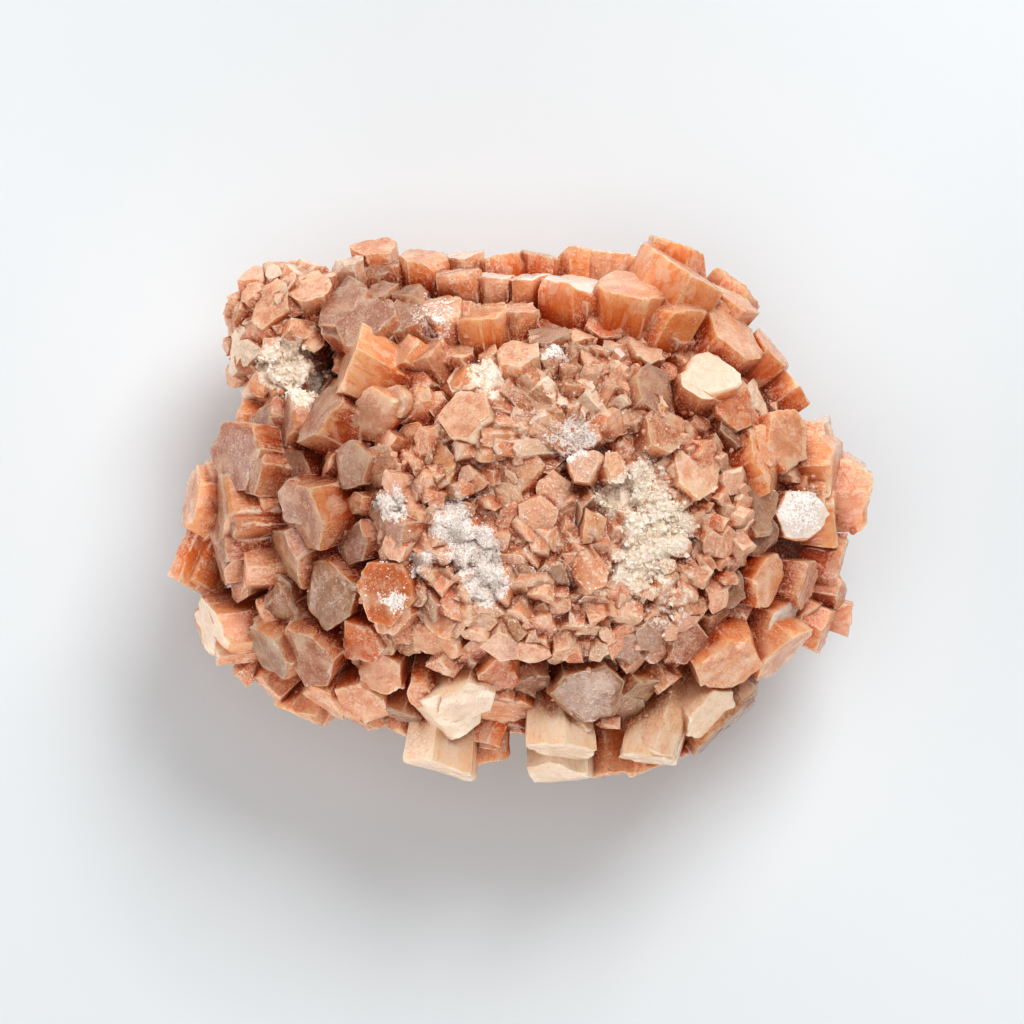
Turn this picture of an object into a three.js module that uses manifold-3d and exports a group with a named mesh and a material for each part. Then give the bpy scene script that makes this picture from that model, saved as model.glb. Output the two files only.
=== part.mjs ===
// A sputnik cluster of aragonite: pseudo-hexagonal prisms that radiate from one heart and have grown together
// into a flattened ball, with a smaller side cluster at its far left corner.
// Millimetres and degrees, +Z up. The origin lies under the middle of the cluster, on the surface it rests on.
import * as THREE from "three";
import { mergeVertices } from "three/addons/utils/BufferGeometryUtils.js";
import Module from "manifold-3d";

const wasm = await Module();
wasm.setup();

// Driving dimensions.
const heart = new THREE.Vector3(3, 1, 19); // the prisms radiate from here
const coreRadii = new THREE.Vector3(26.5, 19.5, 14.5); // the grown-together middle that the prisms root in
const sideHeart = new THREE.Vector3(-22.5, 17, 17); // middle of the side cluster
const sideRadii = new THREE.Vector3(6, 6, 7);
const ballCentre = new THREE.Vector3(0, 0, 19.2);
const ballRadii = new THREE.Vector3(33.5, 26, 19); // the tips of the prisms lie near this ball
const rootDepth = 0.5; // a prism's length, as a share of the way from its tip to the heart
const sideRootDepth = 0.85; // the same in the side cluster
const rootWidth = 0.72; // a prism's width at its root, as a share of its width at the tip
const sidesPerPrism = 6;
const cornerTurn = 9; // how far a corner may stray round the prism, in degrees
const cornerReach = 0.1; // and how far in or out, as a share of the radius
const seatRadius = 7; // the middle of the broken flat spot under the cluster
const seatHeight = 9;
const seatSides = 11;
const groundSize = 120; // the block that cuts the lowest prisms off level
const goldenAngle = 137.508; // spreads points evenly over a disc

// Each prism: x, y, z of the middle of its end face, the compass heading of its axis (0 is +X, 90 is +Y),
// the rise of its axis over the horizon, and its width across flats.
const mainPrisms = [
  // far rim, lower row
  [-14.8, 26.6, 18.5, 100, 15, 3.8],
  [-17.1, 24.9, 21.0, 100, 28, 3.2],
  [-14.0, 24.5, 20.5, 95, 12, 3.6],
  [-9.6, 25.3, 20.5, 92, 18, 4.4],
  [-5.7, 25.6, 19.0, 92, 4, 3.6],
  [-2.0, 25.5, 18.5, 90, -4, 4.8],
  [2.2, 25.6, 18.5, 88, -2, 4.0],
  [5.9, 26.0, 18.5, 87, -2, 4.4],
  [9.8, 25.7, 19.0, 84, 2, 4.6],
  [16.1, 26.3, 18.5, 75, -4, 6.0],
  [21.9, 22.4, 17.0, 52, -5, 4.8],
  // far rim, upper row
  [-6.1, 23.7, 25.0, 97, 20, 3.6],
  [-2.8, 23.4, 24.5, 92, 10, 3.6],
  [0.9, 23.3, 24.5, 90, 8, 3.8],
  [5.6, 22.8, 25.5, 86, 14, 6.0],
  [6.1, 21.1, 28.0, 86, 20, 3.6],
  [11.2, 22.3, 28.0, 78, 28, 6.4],
  [16.3, 24.1, 24.0, 61, 13, 8.0],
  [21.4, 21.5, 21.0, 52, 12, 5.0],
  [21.4, 17.8, 25.0, 43, 14, 6.6],
  [25.4, 16.0, 21.0, 40, 8, 5.2],
  [27.5, 12.5, 19.0, 38, 4, 5.2],
  // right rim
  [26.6, 7.1, 27.0, 22, 42, 5.8],
  [31.6, 4.5, 21.0, 2, 5, 6.6],
  [31.4, -0.6, 21.0, 358, 5, 6.0],
  [34.7, 2.2, 16.0, 2, -3, 7.6],
  [31.4, 7.8, 19.0, 10, 0, 3.0],
  [24.7, 5.2, 29.0, 27, 25, 6.0],
  [17.6, 3.9, 34.5, 20, 62, 5.0],
  [24.7, -7.0, 29.0, 352, 36, 4.8],
  [28.6, -7.3, 24.0, 352, 18, 4.4],
  [22.7, 0.4, 31.0, 10, 60, 5.6],
  [23.6, -2.5, 30.0, 350, 50, 4.0],
  [27.9, -0.6, 27.5, 355, 55, 4.6],
  [29.0, 1.9, 25.0, 5, 30, 4.2],
  [19.9, -4.0, 33.0, 345, 65, 4.0],
  [19.7, -7.8, 31.5, 335, 58, 4.8],
  [32.2, -5.3, 18.5, 352, 2, 4.6],
  [32.4, -8.1, 17.5, 350, 0, 3.6],
  // far right, inside the rim
  [13.5, 11.9, 34.0, 45, 42, 4.8],
  [18.9, 13.5, 30.0, 58, 42, 5.4],
  [21.6, 10.7, 29.5, 35, 48, 5.0],
  [23.7, 10.9, 26.5, 30, 20, 3.6],
  [14.4, 8.2, 35.0, 35, 50, 4.4],
  [11.5, 15.6, 31.5, 72, 45, 3.8],
  // far side, between the rim and the middle
  [-0.3, 20.0, 28.5, 92, 32, 3.4],
  [-3.9, 19.7, 28.5, 98, 28, 5.0],
  [-8.1, 20.2, 28.0, 108, 38, 4.8],
  [-11.9, 19.5, 28.0, 118, 50, 4.6],
  [-0.4, 15.5, 33.0, 94, 38, 4.0],
  [2.9, 17.4, 31.5, 88, 40, 3.6],
  [7.9, 15.1, 32.0, 68, 42, 3.6],
  [4.3, 11.6, 35.0, 82, 50, 3.4],
  [-5.4, 13.2, 33.5, 120, 50, 3.6],
  [-5.6, 9.2, 35.5, 140, 68, 5.0],
  [-9.6, 15.7, 31.0, 125, 45, 4.0],
  [-6.6, 15.7, 30.5, 110, 45, 3.4],
  // far left
  [-17.1, 15.1, 29.0, 152, 16, 7.4],
  [-12.3, 15.7, 31.0, 150, 40, 4.4],
  [-14.6, 9.2, 32.5, 205, 55, 4.8],
  [-17.8, 20.4, 26.0, 128, 38, 5.4],
  [-15.6, 18.9, 28.5, 125, 48, 6.0],
  [-14.6, 21.9, 24.0, 112, 22, 3.8],
  [-11.1, 21.9, 25.0, 104, 22, 4.0],
  // left rim
  [-20.1, 9.5, 30.0, 150, 27, 6.2],
  [-23.4, 9.2, 27.5, 168, 20, 5.0],
  [-25.9, 9.5, 25.0, 160, 15, 4.0],
  [-28.3, 9.5, 20.0, 165, -5, 3.6],
  [-28.3, 5.7, 26.5, 172, 38, 6.4],
  [-23.6, 3.7, 28.5, 185, 50, 5.8],
  [-32.9, 1.0, 20.0, 178, 16, 6.0],
  [-29.9, 0.3, 24.0, 180, 12, 5.4],
  [-21.5, -0.8, 32.0, 195, 42, 6.8],
  [-30.2, -4.3, 23.0, 187, 16, 5.2],
  [-32.3, -8.1, 18.0, 247, 0, 5.0],
  [-16.9, 4.5, 33.0, 180, 62, 4.2],
  [-13.8, 4.4, 34.0, 165, 60, 3.8],
  [-12.9, 0.0, 34.5, 190, 68, 4.6],
  [-23.3, -4.9, 28.0, 207, 16, 6.2],
  [-19.3, -8.3, 31.0, 205, 48, 6.2],
  [-24.3, -9.3, 26.5, 205, 42, 4.2],
  [-13.6, -8.1, 33.5, 205, 50, 6.2],
  [-22.1, -11.8, 27.0, 215, 42, 4.0],
  [-30.9, -12.3, 20.5, 188, 10, 6.2],
  [-32.4, -11.8, 16.5, 192, -8, 3.6],
  [-25.1, -14.3, 24.5, 212, 25, 5.4],
  [-21.3, -14.8, 28.0, 225, 45, 5.8],
  [-16.1, -13.3, 31.0, 228, 45, 4.8],
  // near rim, left half
  [-25.4, -17.9, 19.0, 222, 8, 4.0],
  [-22.4, -20.5, 18.5, 235, 8, 4.6],
  [-19.6, -19.5, 22.5, 240, 18, 4.4],
  [-15.8, -19.3, 25.0, 248, 32, 4.6],
  [-16.1, -21.4, 18.0, 246, 0, 3.6],
  [-14.1, -16.1, 28.5, 240, 45, 4.6],
  [-11.8, -20.6, 23.5, 255, 22, 3.8],
  [-8.2, -26.0, 20.0, 262, 6, 5.0],
  [-7.1, -20.5, 26.0, 264, 35, 5.8],
  [-4.1, -25.1, 17.5, 268, -5, 3.4],
  [-1.8, -16.5, 31.0, 290, 48, 4.8],
  [-1.3, -20.3, 24.0, 275, 20, 4.4],
  [-6.9, -9.8, 34.5, 240, 70, 5.4],
  [-8.1, -12.8, 32.5, 245, 52, 4.8],
  [-11.9, -11.8, 32.0, 235, 55, 3.4],
  [-9.3, -5.3, 34.5, 215, 65, 4.2],
  [-4.1, -14.3, 31.5, 262, 50, 3.8],
  [-5.1, -18.3, 28.0, 268, 45, 3.6],
  // near rim, right half
  [3.7, -24.1, 23.5, 272, 16, 6.4],
  [4.0, -27.0, 18.0, 270, -1, 6.4],
  [6.9, -18.3, 29.5, 285, 58, 6.4],
  [9.9, -19.8, 27.0, 290, 40, 4.2],
  [9.4, -26.6, 17.5, 276, -3, 4.4],
  [12.7, -24.8, 23.0, 254, 16, 3.8],
  [13.9, -25.7, 17.5, 285, -3, 5.4],
  [19.1, -20.5, 24.0, 305, 40, 5.0],
  [20.5, -21.7, 18.5, 305, -2, 7.2],
  [20.9, -15.3, 27.0, 305, 42, 6.2],
  [26.2, -14.6, 22.5, 318, 20, 6.0],
  [26.4, -11.3, 25.0, 335, 25, 4.4],
  [30.8, -12.1, 18.5, 335, 6, 4.8],
  [33.0, -10.9, 17.0, 345, 0, 3.2],
  [16.9, -13.5, 30.0, 300, 40, 3.6],
  [13.5, -13.3, 31.0, 290, 42, 4.4],
  [9.9, -13.8, 32.0, 284, 42, 4.0],
  [5.9, -12.1, 33.5, 275, 55, 6.0],
  [1.7, -12.1, 33.5, 268, 55, 4.0],
  [11.9, -18.3, 27.5, 290, 40, 4.6],
  [22.9, -19.1, 21.0, 310, 15, 4.0],
  [-1.6, -11.8, 33.0, 262, 58, 3.6],
  // middle of the top
  [-0.1, 4.2, 37.0, 120, 72, 4.2],
  [-9.1, 4.1, 35.0, 165, 62, 5.0],
  [-5.8, 3.7, 35.5, 150, 70, 3.6],
  [-10.6, 6.7, 34.5, 160, 60, 4.0],
  [-1.8, 0.5, 37.0, 230, 75, 3.8],
  [3.4, 1.7, 37.5, 300, 80, 3.4],
  [7.9, -7.8, 36.0, 305, 30, 3.4],
  [6.7, 4.2, 37.5, 60, 80, 3.4],
];

// The prisms of the side cluster, in the same terms.
const sidePrisms = [
  [-25.1, 20.7, 25.5, 140, 55, 6.0],
  [-22.4, 23.8, 21.5, 100, 20, 3.6],
  [-20.9, 22.2, 24.5, 100, 45, 4.0],
  [-28.2, 20.1, 20.0, 168, 5, 3.4],
  [-28.4, 16.5, 19.0, 185, 10, 3.6],
  [-26.2, 16.7, 23.5, 180, 45, 3.8],
  [-23.1, 14.0, 24.5, 200, 60, 4.8],
  [-26.5, 13.3, 19.0, 215, 5, 3.4],
  [-20.6, 19.8, 22.5, 60, 55, 3.8],
  [-26.5, 20.0, 11.5, 145, -35, 4.6],
  [-24.5, 15.0, 9.5, 200, -55, 4.6],
];

// Rows of prisms under the rim: how many, the heading of the first, their rise, their mean width, and how far
// their tips lie inside the ball, as a share of the way to the heart. The last row is broken off level.
const lowerRows = [
  { count: 15, firstHeading: 6, rise: -14, width: 6.6, sink: 0 },
  { count: 13, firstHeading: 15, rise: -36, width: 6.4, sink: 0 },
  { count: 9, firstHeading: 0, rise: -62, width: 6.2, sink: -0.08 },
];
const lowerSpread = 5; // how far these stray from their even places, in degrees
const lowerDrop = 0.08; // and how much further inside they may lie

// Small prisms that fill the middle of the top.
const pavement = { count: 14, x: 6, y: -1.5, radius: 14.5, width: 3.3, lean: 12, sink: 0.8, drop: 1.6 };

// The same number from 0 to 1 each time for the same pair of whole numbers.
function scatter(index, channel) {
  const wave = Math.sin(index * 12.9898 + channel * 78.233) * 43758.5453;
  return wave - Math.floor(wave);
}

// The same kind of number, from -1 to 1.
function stray(index, channel) {
  return 2 * scatter(index, channel) - 1;
}

// The unit vector with that heading and rise, in degrees.
function direction(heading, rise) {
  const turn = THREE.MathUtils.degToRad(heading);
  const lift = THREE.MathUtils.degToRad(rise);
  return new THREE.Vector3(
    Math.cos(turn) * Math.cos(lift),
    Math.sin(turn) * Math.cos(lift),
    Math.sin(lift),
  );
}

// The point where a ray from the heart meets the ball.
function onBall(ray) {
  const from = heart.clone().sub(ballCentre).divide(ballRadii);
  const along = ray.clone().divide(ballRadii);
  const a = along.lengthSq();
  const b = from.dot(along);
  const c = from.lengthSq() - 1;
  const distance = (-b + Math.sqrt(b * b - a * c)) / a;
  return heart.clone().addScaledVector(ray, distance);
}

// The turn from the +Z axis to a prism's own axis, with its first corner rolled by an angle in radians.
function stance(axis, roll) {
  const upright = new THREE.Vector3(0, 0, 1);
  const turn = new THREE.Quaternion().setFromUnitVectors(upright, axis);
  return turn.multiply(new THREE.Quaternion().setFromAxisAngle(upright, roll));
}

// The uneven outline of a prism's end face.
function outline(index, radius) {
  const corners = [];
  for (let corner = 0; corner < sidesPerPrism; corner++) {
    const turn = (360 / sidesPerPrism) * corner + cornerTurn * stray(index, corner);
    const angle = THREE.MathUtils.degToRad(turn);
    const reach = radius * (1 + cornerReach * stray(index, corner + sidesPerPrism));
    corners.push(new THREE.Vector2(reach * Math.cos(angle), reach * Math.sin(angle)));
  }
  return new THREE.Shape(corners);
}

// A closed geometry as a solid that can be joined.
function solidOf(geometry) {
  geometry.deleteAttribute("normal");
  geometry.deleteAttribute("uv");
  const merged = mergeVertices(geometry, 1e-4);
  return new wasm.Manifold(
    new wasm.Mesh({
      numProp: 3,
      vertProperties: merged.attributes.position.array,
      triVerts: new Uint32Array(merged.index.array),
    }),
  );
}

// One prism: flat end face at the tip, narrowing towards its root inside the cluster.
function prismSolid(index, [x, y, z, heading, rise, width], centre, depthShare) {
  const tip = new THREE.Vector3(x, y, z);
  const axis = direction(heading, rise);
  const length = depthShare * tip.distanceTo(centre);
  const radius = width / 2 / Math.cos(Math.PI / sidesPerPrism);
  const geometry = new THREE.ExtrudeGeometry(outline(index, radius), {
    depth: length,
    bevelEnabled: false,
  });
  const place = geometry.attributes.position;
  for (let i = 0; i < place.count; i++) {
    const share = THREE.MathUtils.lerp(rootWidth, 1, place.getZ(i) / length);
    place.setXY(i, place.getX(i) * share, place.getY(i) * share);
  }
  geometry.applyQuaternion(stance(axis, Math.PI * scatter(index, 2 * sidesPerPrism)));
  geometry.translate(...tip.clone().addScaledVector(axis, -length).toArray());
  return solidOf(geometry);
}

// A lumpy closed middle for prisms to root in.
function coreSolid(centre, radii) {
  const geometry = new THREE.IcosahedronGeometry(1, 1);
  geometry.scale(...radii.toArray());
  geometry.translate(...centre.toArray());
  return solidOf(geometry);
}

// Everything under the resting surface, to cut away.
function groundSolid() {
  const geometry = new THREE.BoxGeometry(groundSize, groundSize, groundSize);
  geometry.translate(0, 0, -groundSize / 2);
  return solidOf(geometry);
}

// The broken stub in the middle of the flat spot.
function seatSolid() {
  const corners = [];
  for (let corner = 0; corner < seatSides; corner++) {
    const angle = (2 * Math.PI * corner) / seatSides;
    const reach = seatRadius * (1 + 0.15 * stray(corner, 40));
    corners.push(new THREE.Vector2(reach * Math.cos(angle), reach * Math.sin(angle)));
  }
  const shape = new THREE.Shape(corners);
  const geometry = new THREE.ExtrudeGeometry(shape, { depth: seatHeight, bevelEnabled: false });
  return solidOf(geometry);
}

// The rows of prisms under the rim, spread round the heart.
function lowerPrisms() {
  const made = [];
  lowerRows.forEach((row, level) => {
    for (let k = 0; k < row.count; k++) {
      const key = 100 * (level + 1) + k;
      const heading = row.firstHeading + (360 * k) / row.count + lowerSpread * stray(key, 50);
      const rise = row.rise + lowerSpread * stray(key, 51);
      const sink = row.sink + lowerDrop * scatter(key, 52);
      const tip = onBall(direction(heading, rise)).lerp(heart, sink);
      const width = row.width * (1 + 0.2 * stray(key, 53));
      made.push([tip.x, tip.y, tip.z, heading, rise, width]);
    }
  });
  return made;
}

// The small prisms in the middle of the top, spread like seeds in a sunflower.
function pavementPrisms() {
  const made = [];
  for (let k = 0; k < pavement.count; k++) {
    const reach = pavement.radius * Math.sqrt((k + 0.5) / pavement.count);
    const angle = THREE.MathUtils.degToRad(goldenAngle * k);
    const x = pavement.x + reach * Math.cos(angle);
    const y = pavement.y + reach * Math.sin(angle);
    const share = 1 - (x / ballRadii.x) ** 2 - (y / ballRadii.y) ** 2;
    const top = ballCentre.z + ballRadii.z * Math.sqrt(share);
    const z = top - pavement.sink - pavement.drop * scatter(k, 60);
    const away = new THREE.Vector3(x, y, z).sub(heart);
    const heading = THREE.MathUtils.radToDeg(Math.atan2(away.y, away.x));
    const rise = THREE.MathUtils.radToDeg(Math.atan2(away.z, Math.hypot(away.x, away.y)));
    const lean = pavement.lean * stray(k, 61);
    const width = pavement.width * (1 + 0.25 * stray(k, 62));
    made.push([x, y, z, heading + lean, rise + lean, width]);
  }
  return made;
}

// The triangles of the largest closed surface, so that the pockets sealed between prisms are solid.
function outerTriangles(triangles, vertexCount) {
  const parent = Array.from({ length: vertexCount }, (_, i) => i);
  const leader = (vertex) => {
    let at = vertex;
    while (parent[at] !== at) {
      parent[at] = parent[parent[at]];
      at = parent[at];
    }
    return at;
  };
  for (let i = 0; i < triangles.length; i += 3) {
    parent[leader(triangles[i])] = leader(triangles[i + 1]);
    parent[leader(triangles[i + 1])] = leader(triangles[i + 2]);
  }
  const surfaces = new Map();
  for (let i = 0; i < triangles.length; i += 3) {
    const surface = leader(triangles[i]);
    if (!surfaces.has(surface)) {
      surfaces.set(surface, []);
    }
    surfaces.get(surface).push(...triangles.subarray(i, i + 3));
  }
  return [...surfaces.values()].sort((a, b) => b.length - a.length)[0];
}

// Everything above, joined into the one piece that it is.
function clusterGeometry() {
  let whole = coreSolid(heart, coreRadii).add(coreSolid(sideHeart, sideRadii)).add(seatSolid());
  const main = [...mainPrisms, ...lowerPrisms(), ...pavementPrisms()];
  main.forEach((prism, index) => {
    whole = whole.add(prismSolid(index, prism, heart, rootDepth));
  });
  sidePrisms.forEach((prism, k) => {
    whole = whole.add(prismSolid(main.length + k, prism, sideHeart, sideRootDepth));
  });
  whole = whole.subtract(groundSolid());
  const { numProp, numVert, vertProperties, triVerts } = whole.getMesh();
  const positions = new Float32Array(numVert * 3);
  for (let i = 0; i < numVert; i++) {
    positions.set(vertProperties.subarray(i * numProp, i * numProp + 3), i * 3);
  }
  const geometry = new THREE.BufferGeometry();
  geometry.setAttribute("position", new THREE.BufferAttribute(positions, 3));
  geometry.setIndex(outerTriangles(triVerts, numVert));
  geometry.computeVertexNormals();
  return geometry;
}

const aragonite = new THREE.MeshStandardMaterial({ color: 0xcb8a63, roughness: 0.45, metalness: 0 });

const cluster = new THREE.Mesh(clusterGeometry(), aragonite);
cluster.name = "aragonite_cluster";

const specimen = new THREE.Group();
specimen.add(cluster);
export default specimen;
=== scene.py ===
import math
import random
from types import SimpleNamespace
import bpy
from mathutils import Matrix, Quaternion, Vector


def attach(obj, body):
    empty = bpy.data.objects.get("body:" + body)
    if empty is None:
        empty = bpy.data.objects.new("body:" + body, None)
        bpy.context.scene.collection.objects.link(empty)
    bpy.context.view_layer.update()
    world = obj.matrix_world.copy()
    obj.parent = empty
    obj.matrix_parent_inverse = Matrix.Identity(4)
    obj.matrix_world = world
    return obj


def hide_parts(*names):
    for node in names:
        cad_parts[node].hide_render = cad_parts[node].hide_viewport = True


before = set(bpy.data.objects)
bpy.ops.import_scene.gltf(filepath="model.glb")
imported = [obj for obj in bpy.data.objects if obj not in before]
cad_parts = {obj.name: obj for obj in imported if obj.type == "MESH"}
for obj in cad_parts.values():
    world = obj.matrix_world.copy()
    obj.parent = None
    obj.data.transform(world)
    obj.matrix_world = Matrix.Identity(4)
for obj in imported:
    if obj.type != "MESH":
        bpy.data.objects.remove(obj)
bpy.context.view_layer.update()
millimetre = 0.001


# A wire of a node tree, so that sums of nodes are written as plain sums
class Wire:
    def __init__(self, graph, socket):
        self.graph = graph
        self.socket = socket


def giveSign(sign, operation):
    def first(self, other):
        return self.graph.math(operation, self, other)

    def last(self, other):
        return self.graph.math(operation, other, self)

    setattr(Wire, f"__{sign}__", first)
    setattr(Wire, f"__r{sign}__", last)


for sign, operation in {"add": "ADD", "sub": "SUBTRACT", "mul": "MULTIPLY", "truediv": "DIVIDE"}.items():
    giveSign(sign, operation)


# A node tree that is built by plain calls
class Graph:
    def __init__(self, tree):
        self.tree = tree

    def feed(self, socket, value):
        if isinstance(value, Wire):
            self.tree.links.new(value.socket, socket)
        elif value is not None:
            spread = socket.type in ("VECTOR", "RGBA") and isinstance(value, (int, float))
            socket.default_value = (value,) * len(socket.default_value) if spread else value

    def add(self, kind, settings=None, **inputs):
        node = self.tree.nodes.new(kind)
        for name, value in (settings or {}).items():
            setattr(node, name, value)
        for name, value in inputs.items():
            wanted = name.replace("_", " ")
            self.feed(next(s for s in node.inputs if s.name == wanted and s.enabled), value)
        return node

    def out(self, node, name=None):
        found = (s for s in node.outputs if s.enabled and (name is None or s.name == name))
        return Wire(self, next(found))

    def math(self, operation, *values):
        isVector = any(
            isinstance(v, tuple) or isinstance(v, Wire) and v.socket.type in ("VECTOR", "RGBA")
            for v in values
        )
        node = self.tree.nodes.new("ShaderNodeVectorMath" if isVector else "ShaderNodeMath")
        node.operation = operation
        for socket, value in zip(node.inputs, values):
            self.feed(socket, value)
        return self.out(node)

    def dot(self, first, second):
        node = self.add("ShaderNodeVectorMath", {"operation": "DOT_PRODUCT"})
        for socket, value in zip(node.inputs, (first, second)):
            self.feed(socket, value)
        return self.out(node, "Value")

    def length(self, vector):
        return self.out(self.add("ShaderNodeVectorMath", {"operation": "LENGTH"}, Vector=vector), "Value")

    def ramp(self, value, low, high, start=0.0, end=1.0):
        node = self.add("ShaderNodeMapRange", {"interpolation_type": "SMOOTHSTEP"})
        for socket, number in zip(node.inputs, (value, low, high, start, end)):
            self.feed(socket, number)
        return self.out(node)

    def join(self, x, y, z):
        return self.out(self.add("ShaderNodeCombineXYZ", X=x, Y=y, Z=z))

    def parts(self, vector):
        node = self.add("ShaderNodeSeparateXYZ", Vector=vector)
        return [self.out(node, axis) for axis in "XYZ"]

    def noise(self, vector, scale, detail=2.0, roughness=0.5, output="Fac"):
        node = self.add("ShaderNodeTexNoise", Vector=vector, Scale=scale, Detail=detail, Roughness=roughness)
        return self.out(node, output)

    def cells(self, vector, scale):
        node = self.add("ShaderNodeTexVoronoi", Vector=vector, Scale=scale)
        return self.parts(self.out(node, "Color"))

    def dice(self, *numbers):
        node = self.add("ShaderNodeTexWhiteNoise", Vector=self.join(*numbers))
        return self.out(node, "Value")

    def pick(self, share, first, second):
        return first * (1.0 - share) + second * share

    def bump(self, height, strength, distance):
        return self.out(self.add("ShaderNodeBump", Strength=strength, Distance=distance, Height=height))

    def dress(self, **settings):
        shader = self.tree.nodes["Principled BSDF"]
        for name, value in settings.items():
            self.feed(shader.inputs[name.replace("_", " ")], value)

    def read(self, name, output="Fac"):
        return self.out(self.add("ShaderNodeAttribute", {"attribute_name": name}), output)

    def mix(self, share, first, second, blend="MIX"):
        node = self.add("ShaderNodeMix", {"data_type": "RGBA", "blend_type": blend})
        for socket, value in zip([s for s in node.inputs if s.enabled], (share, first, second)):
            self.feed(socket, value)
        return self.out(node)


# A Geometry Nodes tree with named inputs
class Nodes(Graph):
    def __init__(self, name, inputs):
        super().__init__(bpy.data.node_groups.new(name, "GeometryNodeTree"))
        panel = self.tree.interface
        panel.new_socket("Geometry", in_out="INPUT", socket_type="NodeSocketGeometry")
        panel.new_socket("Geometry", in_out="OUTPUT", socket_type="NodeSocketGeometry")
        self.sockets = {
            label: panel.new_socket(label, in_out="INPUT", socket_type="NodeSocket" + kind)
            for label, kind in {**inputs, "Material": "Material"}.items()
        }
        self.group = self.tree.nodes.new("NodeGroupInput")

    def here(self):
        return self.out(self.add("GeometryNodeInputPosition"))

    def normal(self):
        return self.out(self.add("GeometryNodeInputNormal"), "Normal")

    def shapeOf(self, label):
        return self.out(self.add("GeometryNodeObjectInfo", Object=self.given(label)), "Geometry")

    def given(self, label):
        return Wire(self, self.group.outputs[label])

    def attribute(self, name, kind="FLOAT"):
        return self.out(self.add("GeometryNodeInputNamedAttribute", {"data_type": kind}, Name=name))

    def store(self, geometry, name, value, kind="FLOAT", domain="POINT"):
        settings = {"data_type": kind, "domain": domain}
        inputs = {"Geometry": geometry, "Name": name, "Value": value}
        return self.out(self.add("GeometryNodeStoreNamedAttribute", settings, **inputs))

    def look(self, source, value, index, kind="FLOAT"):
        settings = {"data_type": kind, "domain": "POINT", "clamp": True}
        node = self.add("GeometryNodeSampleIndex", settings, Geometry=source, Value=value, Index=index)
        return self.out(node)

    def choose(self, index, options):
        node = self.add("GeometryNodeIndexSwitch", {"data_type": "VECTOR"})
        while len(node.index_switch_items) < len(options):
            node.index_switch_items.new()
        for socket, value in zip(node.inputs, (index, *options)):
            self.feed(socket, value)
        return self.out(node)

    def place(self, geometry, position=None, offset=None):
        node = self.add("GeometryNodeSetPosition", Geometry=geometry)
        self.feed(node.inputs["Position"], position)
        self.feed(node.inputs["Offset"], offset)
        return self.out(node)

    def together(self, *geometries):
        node = self.tree.nodes.new("GeometryNodeJoinGeometry")
        for geometry in geometries:
            self.tree.links.new(geometry.socket, node.inputs[0])
        return self.out(node)

    def boolean(self, operation, base, *others):
        settings = {"operation": operation, "solver": "MANIFOLD"}
        node = self.add("GeometryNodeMeshBoolean", settings)
        if base is not None:
            self.feed(node.inputs["Mesh 1"], base)
        for other in others:
            self.tree.links.new(other.socket, node.inputs["Mesh 2"])
        return self.out(node, "Mesh")

    def realize(self, geometry):
        return self.out(self.add("GeometryNodeRealizeInstances", Geometry=geometry))

    def finish(self, geometry):
        solid = self.realize(geometry)
        dressed = self.add("GeometryNodeSetMaterial", Geometry=solid, Material=self.given("Material"))
        self.feed(self.tree.nodes.new("NodeGroupOutput").inputs[0], self.out(dressed))


def newObject(name, data):
    made = bpy.data.objects.new(name, data)
    bpy.context.scene.collection.objects.link(made)
    return made


def grow(piece, nodes, material, values):
    modifier = piece.modifiers.new("grow", "NODES")
    modifier.node_group = nodes.tree
    for label, value in {**values, "Material": material}.items():
        modifier[nodes.sockets[label].identifier] = value
    evaluated = piece.evaluated_get(bpy.context.evaluated_depsgraph_get())
    mesh = bpy.data.meshes.new_from_object(evaluated)
    mesh.validate()
    piece.modifiers.clear()
    piece.data = mesh
    mesh.name = piece.name
    print(piece.name, "triangles", sum(len(face.vertices) - 2 for face in mesh.polygons))


def newMaterial(name):
    material = bpy.data.materials.new(name)
    material.use_nodes = True
    return material, Graph(material.node_tree)


def linear(value):
    share = value / 255
    return share / 12.92 if share <= 0.04045 else ((share + 0.055) / 1.055) ** 2.4


# A colour as a screen shows it, from 0 to 255, made what a shader wants
def paint(red, green, blue):
    return (linear(red), linear(green), linear(blue), 1.0)


# The cluster's main sizes, in millimetres
cluster = {
    "heart": Vector((3, 1, 19)),
    "coreRadii": Vector((26.5, 19.5, 14.5)),
    "sideHeart": Vector((-22.5, 17, 17)),
    "sideRadii": Vector((6, 6, 7)),
    "ballCentre": Vector((0, 0, 19.2)),
    "ballRadii": Vector((33.5, 26, 19)),
    "navel": Vector((4.5, 6.5, 30)),  # the small crystals of the top radiate from over here
    "rootDepth": 0.5,
    "sideRootDepth": 0.85,
    "finerRootDepth": 0.45,
    "fillRootDepth": 0.4,
    "underBelow": 15.5,  # crystals that end lower are the piece under the rim
    "rootWidth": 0.8,
    "sides": 6,
    "swell": 1.08,
    "cornerTurn": 9,
    "cornerReach": 0.1,
}

# Colours of crystal sides and end faces
tones = {
    "amber": paint(250, 172, 100),
    "orange": paint(242, 152, 90),
    "rust": paint(206, 108, 62),
    "peach": paint(250, 194, 152),
    "pink": paint(250, 206, 186),
    "rosy": paint(244, 176, 148),
    "cream": paint(254, 243, 225),
    "mauve": paint(216, 172, 156),
    "grey": paint(206, 178, 152),
    "white": paint(255, 250, 247),
}

# How clear the end faces of each tone are
clearness = {
    "mauve": 0.45, "grey": 0.5, "rust": 0.3, "orange": 0.25, "amber": 0.2, "pink": 0.15, "peach": 0.15,
    "cream": 0.1,
}

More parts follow.
